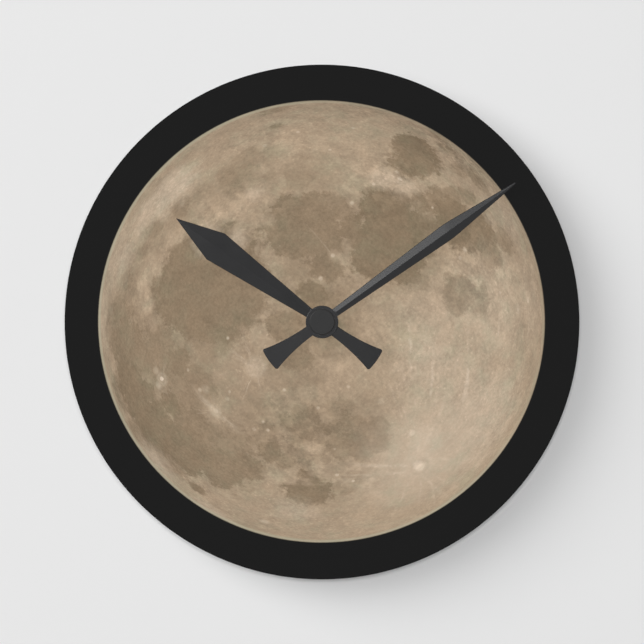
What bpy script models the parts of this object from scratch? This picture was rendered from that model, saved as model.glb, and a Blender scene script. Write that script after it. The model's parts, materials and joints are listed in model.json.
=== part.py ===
"""Round wall clock: a printed moon dial, two hands and a battery quartz movement.

The pieces are modelled face up, in the dial's own coordinates: x to the right,
y towards twelve o'clock and z away from the wall, with the hands' axis at
x = y = 0 and the wall at z = 0. A parent empty stands the clock upright, so
that its face looks towards -Y and twelve o'clock points up.
"""

import math

import bmesh
import bpy
from mathutils import Vector

MM = 0.001
TURN = math.tau

# Clearances
SEAT = 0.3 * MM
PLAY = 0.5 * MM

# Dial
DIAL_DIAMETER = 203.2 * MM
DIAL_THICKNESS = 3.0 * MM
PRINT_THICKNESS = 0.3 * MM

# Hands
HAND_THICKNESS = 0.4 * MM
HAND_CLEARANCE = 0.5 * MM
HOUR_LENGTH = 70.6 * MM
HOUR_SHOULDER = 51.4 * MM
HOUR_HALF_WIDTH = 6.25 * MM
HOUR_ROOT_HALF_WIDTH = 1.95 * MM
HOUR_RIDGE = 0.5 * MM
HOUR_BOSS_RADIUS = 6.1 * MM
HOUR_TAIL_LENGTH = 26.4 * MM
MINUTE_LENGTH = 94.0 * MM
MINUTE_SHOULDER = 61.5 * MM
MINUTE_HALF_WIDTH = 3.4 * MM
MINUTE_ROOT_HALF_WIDTH = 1.7 * MM
MINUTE_TIP_HALF_WIDTH = 0.35 * MM
MINUTE_RIDGE = 0.5 * MM
MINUTE_BOSS_RADIUS = 6.45 * MM
MINUTE_TAIL_LENGTH = 25.9 * MM
SHOULDER_ROUNDING = 3.0 * MM
CREASE_RUN_IN = 1.2 * MM
TAIL_ROOT_HALF_WIDTH = 2.15 * MM
TAIL_WAIST_HALF_WIDTH = 2.35 * MM
TAIL_WAIST_SHARE = 0.55
TAIL_END_HALF_WIDTH = 4.8 * MM
TAIL_CORNER = 0.5 * MM
HOUR_DEGREES_FROM_TWELVE = 305.4
MINUTE_DEGREES_FROM_TWELVE = 54.3

# Cap nut over the minute hand
CAP_RADIUS = 5.05 * MM
CAP_HEIGHT = 2.4 * MM
CAP_BEVEL = 0.35 * MM
CAP_WALL = 0.7 * MM

# Fastening of the dial
WASHER_RADIUS = 6.0 * MM
WASHER_THICKNESS = 0.5 * MM
NUT_ACROSS_FLATS = 10.0 * MM
NUT_THICKNESS = 2.0 * MM
GASKET_RADIUS = 12.0 * MM
GASKET_THICKNESS = 1.0 * MM

# Pipes and arbors on the hands' axis
SECOND_ARBOR_RADIUS = 0.4 * MM
MINUTE_PIPE_WALL = 0.8 * MM
MINUTE_SHOULDER_STEP = 0.15 * MM
MINUTE_FLAT_HALF_WIDTH = 1.1 * MM
HOUR_PIPE_WALL = 0.7 * MM
BUSHING_WALL = 1.1 * MM
BUSHING_FLANGE_WIDTH = 1.3 * MM
BUSHING_FLANGE_THICKNESS = 0.6 * MM

# Movement case
WALL = 1.4 * MM
FRONT_WALL = 1.8 * MM
COVER_THICKNESS = 1.2 * MM
BAY_WALL = 1.2 * MM
CASE_CORNER = 3.0 * MM
CASE_TOP = 23.2 * MM
LUG_WIDTH = 5.0 * MM
LUG_LENGTH = 4.0 * MM
LUG_THICKNESS = 1.0 * MM
BOSS_RADIUS = 1.5 * MM
BOSS_HEIGHT = 1.2 * MM
POST_RADIUS = 1.3 * MM
POST_DIRECTIONS = (140.0, 252.0)
SIDE_POST_DIRECTION = 75.0
PEG_RADIUS = 0.5 * MM
PIVOT_RADIUS = 0.35 * MM
PIVOT_LENGTH = 1.0 * MM

# Battery and its contacts
BATTERY_DIAMETER = 14.2 * MM
BATTERY_LENGTH = 50.0 * MM
BATTERY_RECESS = 0.2 * MM
BATTERY_BUTTON_RADIUS = 2.75 * MM
BATTERY_BUTTON_LENGTH = 1.0 * MM
BATTERY_EDGE = 0.6 * MM
CONTACT_THICKNESS = 0.3 * MM
CONTACT_WIDTH = 5.4 * MM
CONTACT_BULGE = 0.7 * MM
CONTACT_BULGE_HALF_LENGTH = 4.0 * MM
CONTACT_REACH = 3.0 * MM

# Wheels: thickness, spacing and teeth
WHEEL_THICKNESS = 0.8 * MM
WHEEL_SPACING = 1.1 * MM
PINION_LENGTH = 1.4 * MM
ARBOR_RADIUS = 0.6 * MM
COLLAR_WIDTH = 0.6 * MM
COLLAR_THICKNESS = 0.5 * MM
HUB_WIDTH = 0.8 * MM
THIRD_MODULE = 0.36 * MM
SECOND_MODULE = 0.5 * MM
FIFTH_MODULE = 0.42 * MM
CANNON_MODULE = 0.6625 * MM
ROTOR_LEAVES = 6
FIFTH_TEETH = 36
FIFTH_LEAVES = 6
SECOND_TEETH = 30
SECOND_LEAVES = 6
THIRD_TEETH = 45
THIRD_LEAVES = 6
CENTRE_TEETH = 48
CANNON_LEAVES = 8
MINUTE_TEETH = 24
MINUTE_LEAVES = 8
HOUR_TEETH = 32
KNOB_LEAVES = 8
ADDENDUM = 0.85
DEDENDUM = 1.2
TOOTH_TIP_SHARE = 0.2
TOOTH_ROOT_SHARE = 0.56

# Where each wheel lies, in degrees anticlockwise from three o'clock
THIRD_DIRECTION = 62.0
FIFTH_DIRECTION = 160.0
ROTOR_DIRECTION = 230.0
MINUTE_DIRECTION = -5.0
KNOB_DIRECTION = -48.0

# Stepping motor
MAGNET_RADIUS = 2.8 * MM
MAGNET_LENGTH = 2.4 * MM
STATOR_THICKNESS = 1.0 * MM
STATOR_RIM = 1.1 * MM
STATOR_ARM = 3.6 * MM
CORE_HALF_WIDTH = 1.5 * MM
BOBBIN_LENGTH = 18.0 * MM
BOBBIN_WALL = 0.6 * MM
BOBBIN_FLANGE_WIDTH = 1.1 * MM
BOBBIN_FLANGE_THICKNESS = 0.8 * MM

# Electronics
BOARD_THICKNESS = 0.8 * MM
BOARD_LENGTH = 22.0 * MM
BOARD_WIDTH = 7.4 * MM
CRYSTAL_RADIUS = 1.0 * MM
CRYSTAL_LENGTH = 6.0 * MM
CHIP_RADIUS = 2.2 * MM
CHIP_HEIGHT = 1.1 * MM

# Middle plate
PLATE_THICKNESS = 0.7 * MM
PLATE_MARGIN = 2.5 * MM

# Setting knob
KNOB_RADIUS = 4.5 * MM
KNOB_HEIGHT = 2.9 * MM
KNOB_RECESS = 0.4 * MM
KNOB_GROOVE = 0.25 * MM
KNOB_GROOVE_COUNT = 16
KNOB_LAND_SHARE = 0.5
KNOB_GROOVE_SHARE = 0.2
KNOB_CUP_WALL = 1.2 * MM
KNOB_STEM_RADIUS = 1.2 * MM
KNOB_COLLAR_RADIUS = 2.2 * MM

# Hanger plate
HANGER_THICKNESS = 0.8 * MM
HANGER_WIDTH = 22.0 * MM
HANGER_BELOW_AXIS = 9.0 * MM
HANGER_WALL_GAP = 2.0 * MM
HANGER_BEND = 1.0 * MM
KEYHOLE_RADIUS = 4.0 * MM
KEYHOLE_SLOT_HALF_WIDTH = 2.1 * MM
KEYHOLE_SLOT_LENGTH = 7.0 * MM
KEYHOLE_MARGIN = 3.0 * MM

# Faces on a full circle
DIAL_STEPS = 128
HUB_STEPS = 48
ROUND_STEPS = 32
SMALL_STEPS = 16
PIN_STEPS = 10
CORNER_STEPS = 5
BEND_STEPS = 4
SMOOTH_DEGREES = 30.0

# Radii worked out from the inside to the outside of the hands' axis
minute_bore = SECOND_ARBOR_RADIUS + SEAT
minute_pipe = minute_bore + MINUTE_PIPE_WALL
hour_bore = minute_pipe + SEAT
hour_pipe = hour_bore + HOUR_PIPE_WALL
bushing_bore = hour_pipe + SEAT
bushing_radius = bushing_bore + BUSHING_WALL
bushing_hole = bushing_radius + SEAT
flange_radius = bushing_radius + BUSHING_FLANGE_WIDTH
pivot_hole = PIVOT_RADIUS + SEAT

# Heights inside the case, from the wall towards the dial
z_cover = COVER_THICKNESS
z_boss = z_cover + BOSS_HEIGHT
z_shoulder = z_boss + SEAT
z_fifth = z_shoulder + PLAY
z_second = z_fifth + WHEEL_THICKNESS + WHEEL_SPACING
z_third = z_second + WHEEL_THICKNESS + WHEEL_SPACING
z_plate = z_third + WHEEL_THICKNESS + PLAY
z_plate_top = z_plate + PLATE_THICKNESS
z_collar = z_plate_top + SEAT
z_centre = z_collar + COLLAR_THICKNESS + SEAT
z_hub_top = z_centre + WHEEL_THICKNESS + SEAT
z_cannon = z_hub_top + SEAT
z_minute = z_cannon + (PINION_LENGTH - WHEEL_THICKNESS) / 2
z_hour = z_cannon + PINION_LENGTH + PLAY
z_battery = BATTERY_RECESS + BATTERY_DIAMETER / 2
z_inner = max(z_hour + WHEEL_THICKNESS + PLAY, z_battery + BATTERY_DIAMETER / 2 + SEAT)
z_case = z_inner + FRONT_WALL

# Heights in front of the case
z_hanger = z_case + SEAT
z_gasket = z_hanger + HANGER_THICKNESS + SEAT
z_dial = z_gasket + GASKET_THICKNESS + SEAT
z_print = z_dial + DIAL_THICKNESS + SEAT
z_washer = z_print + PRINT_THICKNESS + SEAT
z_nut = z_washer + WASHER_THICKNESS + SEAT
z_bushing_end = z_nut + NUT_THICKNESS + SEAT
z_hour_hand = z_bushing_end + SEAT
z_hour_pipe_end = z_hour_hand + HAND_THICKNESS + HOUR_RIDGE
z_minute_hand = z_hour_pipe_end + HAND_CLEARANCE
z_cap = z_minute_hand + HAND_THICKNESS + SEAT
z_minute_pipe_end = z_cap + CAP_HEIGHT - CAP_WALL - SEAT

# Heights of the stepping motor and the electronics
z_rotor_pinion = z_fifth - (PINION_LENGTH - WHEEL_THICKNESS) / 2
z_magnet = z_rotor_pinion + PINION_LENGTH + PLAY
z_stator = z_magnet + (MAGNET_LENGTH - STATOR_THICKNESS) / 2
z_core = z_stator + STATOR_THICKNESS + SEAT
z_core_top = z_core + STATOR_THICKNESS
z_coil = z_core + STATOR_THICKNESS / 2
z_board = z_cover + SEAT
z_board_top = z_board + BOARD_THICKNESS
z_contact = z_board_top + SEAT
z_contact_top = z_contact + CONTACT_WIDTH


def polar(distance, degrees, origin=(0.0, 0.0)):
    """Point at a distance and direction from an origin, in the dial's plane."""
    angle = math.radians(degrees)
    return (origin[0] + distance * math.cos(angle), origin[1] + distance * math.sin(angle))


def centre_distance(module, teeth_a, teeth_b):
    """Distance between the axes of two wheels in mesh."""
    return module * (teeth_a + teeth_b) / 2


def outer_radius(module, teeth):
    """Radius over the tips of a wheel's teeth."""
    return module * (teeth / 2 + ADDENDUM)


def meshed_phase(teeth_a, phase_a, axis_a, teeth_b, axis_b):
    """Direction of a tooth of wheel b, so that it meets a gap of wheel a."""
    towards_b = math.atan2(axis_b[1] - axis_a[1], axis_b[0] - axis_a[0])
    share = teeth_a * (towards_b - phase_a)
    return towards_b + math.pi - (math.pi - share) / teeth_b


# Axes of the wheels
third_distance = centre_distance(THIRD_MODULE, CENTRE_TEETH, THIRD_LEAVES)
third_wheel_module = 2 * third_distance / (THIRD_TEETH + SECOND_LEAVES)
minute_distance = centre_distance(CANNON_MODULE, CANNON_LEAVES, MINUTE_TEETH)
hour_module = 2 * minute_distance / (HOUR_TEETH + MINUTE_LEAVES)
AXIS = (0.0, 0.0)
third_axis = polar(third_distance, THIRD_DIRECTION)
fifth_axis = polar(centre_distance(SECOND_MODULE, SECOND_TEETH, FIFTH_LEAVES), FIFTH_DIRECTION)
rotor_distance = centre_distance(FIFTH_MODULE, FIFTH_TEETH, ROTOR_LEAVES)
rotor_axis = polar(rotor_distance, ROTOR_DIRECTION, fifth_axis)
minute_axis = polar(minute_distance, MINUTE_DIRECTION)
knob_distance = centre_distance(CANNON_MODULE, MINUTE_TEETH, KNOB_LEAVES)
knob_axis = polar(knob_distance, KNOB_DIRECTION, minute_axis)

# Stepping motor's plan
stator_bore = MAGNET_RADIUS + PLAY
bobbin_bore = math.hypot(CORE_HALF_WIDTH, STATOR_THICKNESS / 2) + SEAT
bobbin_tube = bobbin_bore + BOBBIN_WALL
bobbin_flange = bobbin_tube + BOBBIN_FLANGE_WIDTH
coil_x = rotor_axis[0] - stator_bore - STATOR_RIM - SEAT - bobbin_flange
arm_half = STATOR_ARM / 2
lower_arm_y = rotor_axis[1] - stator_bore - STATOR_RIM - arm_half
coil_low_y = lower_arm_y + arm_half + SEAT
upper_arm_y = coil_low_y + BOBBIN_LENGTH + SEAT + arm_half
coil_pegs = [(coil_x, lower_arm_y), (coil_x, upper_arm_y)]

# Case's plan
cup_bore = KNOB_RADIUS + SEAT
cup_radius = cup_bore + KNOB_CUP_WALL
stator_low_y = lower_arm_y - arm_half
bay_top = min(knob_axis[1] - cup_radius, stator_low_y) - 2 * SEAT - CONTACT_THICKNESS
battery_y = bay_top - BAY_WALL - SEAT - BATTERY_DIAMETER / 2
inner_low_y = battery_y - BATTERY_DIAMETER / 2 - SEAT
inner_top_y = CASE_TOP - WALL
contact_room = 2 * SEAT + CONTACT_THICKNESS + CONTACT_BULGE
inner_half_width = max(BATTERY_LENGTH / 2 + contact_room, bobbin_flange + SEAT - coil_x)
outer_half_width = inner_half_width + WALL
case_low_y = inner_low_y - WALL
hour_reach = max(outer_radius(hour_module, HOUR_TEETH), outer_radius(THIRD_MODULE, CENTRE_TEETH))
post_distance = hour_reach + 2 * SEAT + POST_RADIUS
side_post_distance = outer_radius(CANNON_MODULE, MINUTE_TEETH) + 2 * SEAT + POST_RADIUS
plate_posts = [polar(post_distance, direction) for direction in POST_DIRECTIONS]
plate_posts.append(polar(side_post_distance, SIDE_POST_DIRECTION, minute_axis))

# Setting knob's heights
z_knob_top = KNOB_RECESS + KNOB_HEIGHT
z_cup_floor = z_knob_top + SEAT
z_cup_top = z_cup_floor + KNOB_CUP_WALL
stem_hole = KNOB_STEM_RADIUS + SEAT

# Circuit board's plan
board_left = SEAT + CONTACT_THICKNESS + SEAT - inner_half_width
board_right = board_left + BOARD_LENGTH
board_low_y = bay_top + SEAT
board_top_y = board_low_y + BOARD_WIDTH

# Hanger's plan
hanger_y = CASE_TOP + SEAT + HANGER_THICKNESS / 2
keyhole_y = hanger_y + KEYHOLE_MARGIN + KEYHOLE_RADIUS
hanger_top_y = keyhole_y + KEYHOLE_SLOT_LENGTH + KEYHOLE_SLOT_HALF_WIDTH + KEYHOLE_MARGIN

# Teeth that face each other at rest
centre_phase = 0.0
third_pinion_phase = meshed_phase(CENTRE_TEETH, centre_phase, AXIS, THIRD_LEAVES, third_axis)
third_phase = 0.0
second_pinion_phase = meshed_phase(THIRD_TEETH, third_phase, third_axis, SECOND_LEAVES, AXIS)
second_phase = 0.0
fifth_pinion_phase = meshed_phase(SECOND_TEETH, second_phase, AXIS, FIFTH_LEAVES, fifth_axis)
fifth_phase = 0.0
rotor_phase = meshed_phase(FIFTH_TEETH, fifth_phase, fifth_axis, ROTOR_LEAVES, rotor_axis)
cannon_phase = 0.0
minute_phase = meshed_phase(CANNON_LEAVES, cannon_phase, AXIS, MINUTE_TEETH, minute_axis)
knob_phase = meshed_phase(MINUTE_TEETH, minute_phase, minute_axis, KNOB_LEAVES, knob_axis)
hour_phase = 0.0
minute_pinion_phase = meshed_phase(HOUR_TEETH, hour_phase, AXIS, MINUTE_LEAVES, minute_axis)


def circle(radius, steps=ROUND_STEPS, centre=(0.0, 0.0)):
    """Points round a circle, anticlockwise."""
    return [polar(radius, 360.0 * step / steps, centre) for step in range(steps)]


def arc(radius, start, end, steps, centre=(0.0, 0.0)):
    """Points along an arc, both ends included, in degrees."""
    return [polar(radius, start + (end - start) * step / steps, centre) for step in range(steps + 1)]


def rectangle(left, low, right, top):
    """Corners of an upright rectangle, anticlockwise."""
    return [(left, low), (right, low), (right, top), (left, top)]


def rounded_rectangle(left, low, right, top, radius):
    """Upright rectangle whose corners are quarter circles."""
    centres = rectangle(left + radius, low + radius, right - radius, top - radius)
    outline = []
    for index, centre in enumerate(centres):
        start = 180.0 + 90.0 * index
        outline += arc(radius, start, start + 90.0, CORNER_STEPS, centre)
    return outline


def flatted_circle(radius, half_flat, steps=ROUND_STEPS):
    """Circle with two flats across it, as on a hand's seat."""
    return [(x, max(-half_flat, min(half_flat, y))) for x, y in circle(radius, steps)]


def toothed_outline(module, teeth, phase):
    """Outline of a wheel or pinion with straight-sided teeth."""
    tip = module * (teeth / 2 + ADDENDUM)
    root = module * (teeth / 2 - DEDENDUM)
    pitch = TURN / teeth
    outline = []
    for tooth in range(teeth):
        middle = phase + tooth * pitch
        half_root = TOOTH_ROOT_SHARE * pitch / 2
        half_tip = TOOTH_TIP_SHARE * pitch / 2
        for radius, angle in (
            (root, middle - half_root),
            (tip, middle - half_tip),
            (tip, middle + half_tip),
            (root, middle + half_root),
        ):
            outline.append((radius * math.cos(angle), radius * math.sin(angle)))
    return outline


def grooved_circle(radius, depth, grooves):
    """Circle with straight grooves round its edge, for a finger's grip."""
    outline = []
    groove_start = (1.0 + KNOB_LAND_SHARE - KNOB_GROOVE_SHARE) / 2
    corners = (
        (0.0, radius),
        (KNOB_LAND_SHARE, radius),
        (groove_start, radius - depth),
        (groove_start + KNOB_GROOVE_SHARE, radius - depth),
    )
    for groove in range(grooves):
        outline += [polar(reach, 360.0 * (groove + share) / grooves) for share, reach in corners]
    return outline


def turn_side(first, second, third):
    """Positive where the way from first through second to third bends left."""
    along = (second[0] - first[0], second[1] - first[1])
    onward = (third[0] - first[0], third[1] - first[1])
    return along[0] * onward[1] - along[1] * onward[0]


def hull(circles):
    """Outline drawn tight round a set of circles, each a centre and a radius."""
    points = sorted({point for centre, radius in circles for point in circle(radius, SMALL_STEPS, centre)})
    chains = []
    for ordered in (points, points[::-1]):
        chain = []
        for point in ordered:
            while len(chain) > 1 and turn_side(chain[-2], chain[-1], point) <= 0:
                chain.pop()
            chain.append(point)
        chains += chain[:-1]
    return chains


def bezier(start, control, end, steps):
    """Points along a quadratic curve, both ends included."""
    points = []
    for step in range(steps + 1):
        t = step / steps
        weights = ((1 - t) ** 2, 2 * t * (1 - t), t ** 2)
        points.append(
            tuple(sum(w * p[i] for w, p in zip(weights, (start, control, end))) for i in range(2))
        )
    return points


def rounded_path(corners, radius, steps=BEND_STEPS):
    """Path through its corners, with each bend rounded."""
    path = [corners[0]]
    for before, corner, after in zip(corners, corners[1:], corners[2:]):
        corner = Vector(corner)
        start = corner + (Vector(before) - corner).normalized() * radius
        end = corner + (Vector(after) - corner).normalized() * radius
        path += bezier(tuple(start), tuple(corner), tuple(end), steps)
    path.append(corners[-1])
    return path


def strip_outline(path, thickness):
    """Outline of a bent strip of even thickness, seen along its width."""
    left = []
    right = []
    for index, point in enumerate(path):
        here = Vector(point)
        before = here - Vector(path[index - 1]) if index else None
        after = Vector(path[index + 1]) - here if index + 1 < len(path) else None
        before = (before or after).normalized()
        after = (after or before).normalized()
        middle = (before + after).normalized()
        across = Vector((-middle.y, middle.x)) * (thickness / 2 / middle.dot(before))
        left.append(tuple(here + across))
        right.append(tuple(here - across))
    return right + left[::-1]


def add_ring(bm, outline, height):
    """Vertices of an outline at one height."""
    return [bm.verts.new((x, y, height)) for x, y in outline]


def add_wall(bm, near, far):
    """Faces between two rings with the same number of vertices."""
    for index in range(len(near)):
        previous = index - 1
        bm.faces.new((near[previous], near[index], far[index], far[previous]))


def fill(bm, rings):
    """Flat faces inside an outer ring, leaving the other rings open."""
    edges = []
    for ring in rings:
        for index in range(len(ring)):
            pair = (ring[index - 1], ring[index])
            edges.append(bm.edges.get(pair) or bm.edges.new(pair))
    bmesh.ops.triangle_fill(bm, use_beauty=True, edges=edges, normal=(0.0, 0.0, 1.0))


def add_steps(bm, height, steps, open_end=False):
    """Walls and shelves that leave a plane: a boss, a post, a hole or a whole turned stack.

    Each step is an outline and the height where it ends. Returns the ring on
    the plane and the last ring, which has its cap unless the end stays open.
    """
    base = None
    previous = None
    for outline, end in steps:
        near = add_ring(bm, outline, height)
        far = add_ring(bm, outline, end)
        add_wall(bm, near, far)
        if previous:
            fill(bm, [previous, near])
        else:
            base = near
        previous = far
        height = end
    if not open_end:
        fill(bm, [previous])
    return base, previous


def add_stack(bm, height, steps, bore=None):
    """Closed stack of outlines from one height upwards, with an optional bore all through."""
    base, top = add_steps(bm, height, steps, open_end=True)
    low_rings = [base]
    top_rings = [top]
    if bore:
        low, high = add_steps(bm, height, [(bore, steps[-1][1])], open_end=True)
        low_rings.append(low)
        top_rings.append(high)
    fill(bm, low_rings)
    fill(bm, top_rings)


def add_plate(bm, low, top, outline, holes=()):
    """Flat plate between two heights, with holes all through."""
    low_rings = []
    top_rings = []
    for ring_outline in (outline, *holes):
        near, far = add_steps(bm, low, [(ring_outline, top)], open_end=True)
        low_rings.append(near)
        top_rings.append(far)
    fill(bm, low_rings)
    fill(bm, top_rings)


def add_turning(bm, profile, steps=ROUND_STEPS, ring_shaped=False):
    """Turned piece from a profile of radii and heights.

    A ring-shaped profile closes on itself round a bore; any other is capped
    at both of its ends.
    """
    rings = [add_ring(bm, circle(radius, steps), height) for radius, height in profile]
    for near, far in zip(rings, rings[1:]):
        add_wall(bm, near, far)
    if ring_shaped:
        add_wall(bm, rings[-1], rings[0])
    else:
        fill(bm, [rings[0]])
        fill(bm, [rings[-1]])


def material(name, colour, roughness, metallic):
    """Principled surface of one piece."""
    surface = bpy.data.materials.new(name)
    surface.use_nodes = True
    shader = surface.node_tree.nodes["Principled BSDF"]
    shader.inputs["Base Color"].default_value = (*colour, 1.0)
    shader.inputs["Roughness"].default_value = roughness
    shader.inputs["Metallic"].default_value = metallic
    return surface


FINISHES = {
    "black paint": ((0.035, 0.038, 0.042), 0.45, 0.0),
    "print": ((0.42, 0.34, 0.24), 0.6, 0.0),
    "acrylic": ((0.02, 0.02, 0.02), 0.15, 0.0),
    "black plastic": ((0.025, 0.025, 0.027), 0.5, 0.0),
    "natural plastic": ((0.75, 0.72, 0.62), 0.45, 0.0),
    "white plastic": ((0.8, 0.8, 0.78), 0.45, 0.0),
    "rubber": ((0.02, 0.02, 0.02), 0.8, 0.0),
    "steel": ((0.55, 0.55, 0.56), 0.35, 1.0),
    "brass": ((0.72, 0.5, 0.2), 0.3, 1.0),
    "copper": ((0.75, 0.35, 0.18), 0.35, 1.0),
    "nickel": ((0.65, 0.63, 0.58), 0.3, 1.0),
    "magnet": ((0.08, 0.08, 0.085), 0.4, 1.0),
    "board": ((0.28, 0.16, 0.05), 0.5, 0.0),
    "resin": ((0.01, 0.01, 0.01), 0.25, 0.0),
    "battery sleeve": ((0.1, 0.12, 0.14), 0.35, 0.3),
}


def add_object(name, bm, finish, parent, location=(0.0, 0.0, 0.0), rotation=(0.0, 0.0, 0.0)):
    """Named object from a finished mesh, placed under its parent."""
    bmesh.ops.recalc_face_normals(bm, faces=bm.faces[:])
    mesh = bpy.data.meshes.new(name)
    bm.to_mesh(mesh)
    bm.free()
    mesh.shade_smooth()
    mesh.set_sharp_from_angle(angle=math.radians(SMOOTH_DEGREES))
    mesh.materials.append(material(name, *FINISHES[finish]))
    piece = bpy.data.objects.new(name, mesh)
    bpy.context.collection.objects.link(piece)
    piece.parent = parent
    piece.location = location
    piece.rotation_euler = rotation
    return piece


def cut(piece, name, cutters):
    """Take a cutter's prisms out of a piece. Each is an outline and two heights."""
    bm = bmesh.new()
    for outline, low, top in cutters:
        add_plate(bm, low, top, outline)
    cutter = add_object(name, bm, "steel", piece.parent)
    cutter.display_type = "WIRE"
    cutter.hide_render = True
    boolean = piece.modifiers.new(name, "BOOLEAN")
    boolean.operation = "DIFFERENCE"
    boolean.solver = "EXACT"
    boolean.object = cutter


def blade_stations(root, shoulder, half_width, length, root_half_width, tip_half_width):
    """Distance from the axis and half width along one edge of a hand's blade."""
    start = (root, root_half_width)
    corner = (shoulder, half_width)
    widening = (half_width - root_half_width) / (shoulder - root)
    run_in = (root + CREASE_RUN_IN, root_half_width + widening * CREASE_RUN_IN)
    if not tip_half_width:
        return [start, run_in, corner]
    end = (length - tip_half_width, tip_half_width)
    rounded = rounded_path([start, corner, end], SHOULDER_ROUNDING)
    return [start, run_in, *rounded[1:]]


def tail_side(boss_radius, length):
    """One side of a hand's flared tail and half of its round end, going outwards."""
    root = math.sqrt(boss_radius ** 2 - TAIL_ROOT_HALF_WIDTH ** 2)
    end = math.sqrt(length ** 2 - TAIL_END_HALF_WIDTH ** 2) - TAIL_CORNER
    waist = (root + TAIL_WAIST_SHARE * (end - root), TAIL_WAIST_HALF_WIDTH)
    side = bezier((root, TAIL_ROOT_HALF_WIDTH), waist, (end, TAIL_END_HALF_WIDTH), 2 * BEND_STEPS)
    corner_angle = math.degrees(math.asin((TAIL_END_HALF_WIDTH - TAIL_CORNER) / length))
    return side + arc(length, corner_angle, 0.0, BEND_STEPS)


def add_hand(bm, boss_radius, bore, stations, ridge, length, tail_length):
    """Hand of folded sheet: creased blade along +X, flat round boss and flat tail."""
    shoulder_half_width = max(half for reach, half in stations)
    root_angle = math.degrees(math.asin(stations[0][1] / boss_radius))
    tail = tail_side(boss_radius, tail_length)
    tail_angle = math.degrees(math.asin(TAIL_ROOT_HALF_WIDTH / boss_radius))
    upper = arc(boss_radius, root_angle, 180.0 - tail_angle, HUB_STEPS // 2)[:-1]
    upper += [(-reach, half) for reach, half in tail]
    lower = [(x, -y) for x, y in upper[-2::-1]]
    ridge_start = bm.verts.new((stations[0][0], 0.0, 0.0))
    flat = add_ring(bm, upper + lower, 0.0)
    boss_ring = flat + [ridge_start]
    fill(bm, [boss_ring, add_ring(bm, bore, 0.0)])
    previous = (flat[0], ridge_start, flat[-1])
    for reach, half in stations[1:]:
        rise = ridge * half / shoulder_half_width
        station = (
            bm.verts.new((reach, half, 0.0)),
            bm.verts.new((reach, 0.0, rise)),
            bm.verts.new((reach, -half, 0.0)),
        )
        bm.faces.new((previous[0], station[0], station[1], previous[1]))
        bm.faces.new((previous[1], station[1], station[2], previous[2]))
        previous = station
    tip = bm.verts.new((length, 0.0, 0.0))
    bm.faces.new((previous[0], tip, previous[1]))
    bm.faces.new((previous[1], tip, previous[2]))
    bmesh.ops.recalc_face_normals(bm, faces=bm.faces[:])
    grown = bmesh.ops.extrude_face_region(bm, geom=bm.faces[:])
    raised = [item for item in grown["geom"] if isinstance(item, bmesh.types.BMVert)]
    bmesh.ops.translate(bm, verts=raised, vec=(0.0, 0.0, HAND_THICKNESS))


def make_hand(name, parent, height, degrees, boss_radius, bore, stations, ridge, length, tail_length):
    """Place a hand so that it points the given degrees clockwise from twelve o'clock."""
    bm = bmesh.new()
    add_hand(bm, boss_radius, bore, stations, ridge, length, tail_length)
    turned = (0.0, 0.0, math.radians(90.0 - degrees))
    add_object(name, bm, "black paint", parent, (0.0, 0.0, height), turned)


def keyhole_outline(centre_y):
    """Round hole for a nail's head with a slot above it for the nail's shank."""
    meeting = math.degrees(math.acos(KEYHOLE_SLOT_HALF_WIDTH / KEYHOLE_RADIUS))
    hole = arc(KEYHOLE_RADIUS, 180.0 - meeting, 360.0 + meeting, ROUND_STEPS, (0.0, centre_y))
    slot_end = (0.0, centre_y + KEYHOLE_SLOT_LENGTH)
    return hole + arc(KEYHOLE_SLOT_HALF_WIDTH, 0.0, 180.0, SMALL_STEPS // 2, slot_end)


def case_outline():
    """Outline that both halves of the movement's case share."""
    return rounded_rectangle(-outer_half_width, case_low_y, outer_half_width, CASE_TOP, CASE_CORNER)


def pivot_socket(axis, height):
    """Blind hole for a pivot in the case's front wall."""
    return [(circle(pivot_hole, PIN_STEPS, axis), height + PIVOT_LENGTH)]


def build_case_front(clock):
    """Front shell: outer wall, battery bay, posts and pivot holes."""
    bm = bmesh.new()
    rim = z_cover + SEAT
    room = rectangle(-inner_half_width, bay_top, inner_half_width, inner_top_y)
    bay = rectangle(-inner_half_width, inner_low_y, inner_half_width, bay_top - BAY_WALL)
    outer_rim, outer_front = add_steps(bm, rim, [(case_outline(), z_case)], open_end=True)
    room_rim, room_floor = add_steps(bm, rim, [(room, z_inner)], open_end=True)
    bay_rim, bay_floor = add_steps(bm, rim, [(bay, z_inner)], open_end=True)
    flange_seat = (circle(flange_radius + SEAT), z_inner + BUSHING_FLANGE_THICKNESS + SEAT)
    flange_ring, bushing_ring = add_steps(
        bm, z_inner, [flange_seat, (circle(bushing_hole), z_case)], open_end=True
    )
    floor_rings = [room_floor, flange_ring]
    for axis in (third_axis, minute_axis, knob_axis):
        floor_rings.append(add_steps(bm, z_inner, pivot_socket(axis, z_inner))[0])
    post_ends = [(axis, z_plate_top, z_plate) for axis in plate_posts]
    post_ends += [(axis, z_core_top, z_stator) for axis in coil_pegs]
    for axis, seat, end in post_ends:
        post = (circle(POST_RADIUS, SMALL_STEPS, axis), seat + SEAT)
        peg = (circle(PEG_RADIUS, PIN_STEPS, axis), end)
        floor_rings.append(add_steps(bm, z_inner, [post, peg])[0])
    fill(bm, [outer_rim, room_rim, bay_rim])
    fill(bm, floor_rings)
    fill(bm, [bay_floor])
    fill(bm, [outer_front, bushing_ring])
    case = add_object("case_front", bm, "black plastic", clock)
    notch_width = CONTACT_THICKNESS + 2 * SEAT
    notches = []
    for left in (inner_half_width - notch_width, -inner_half_width - SEAT):
        notch = rectangle(left, bay_top - BAY_WALL - SEAT, left + notch_width + SEAT, bay_top + SEAT)
        notches.append((notch, 0.0, z_contact_top + SEAT))
    cut(case, "contact_notches", notches)


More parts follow.
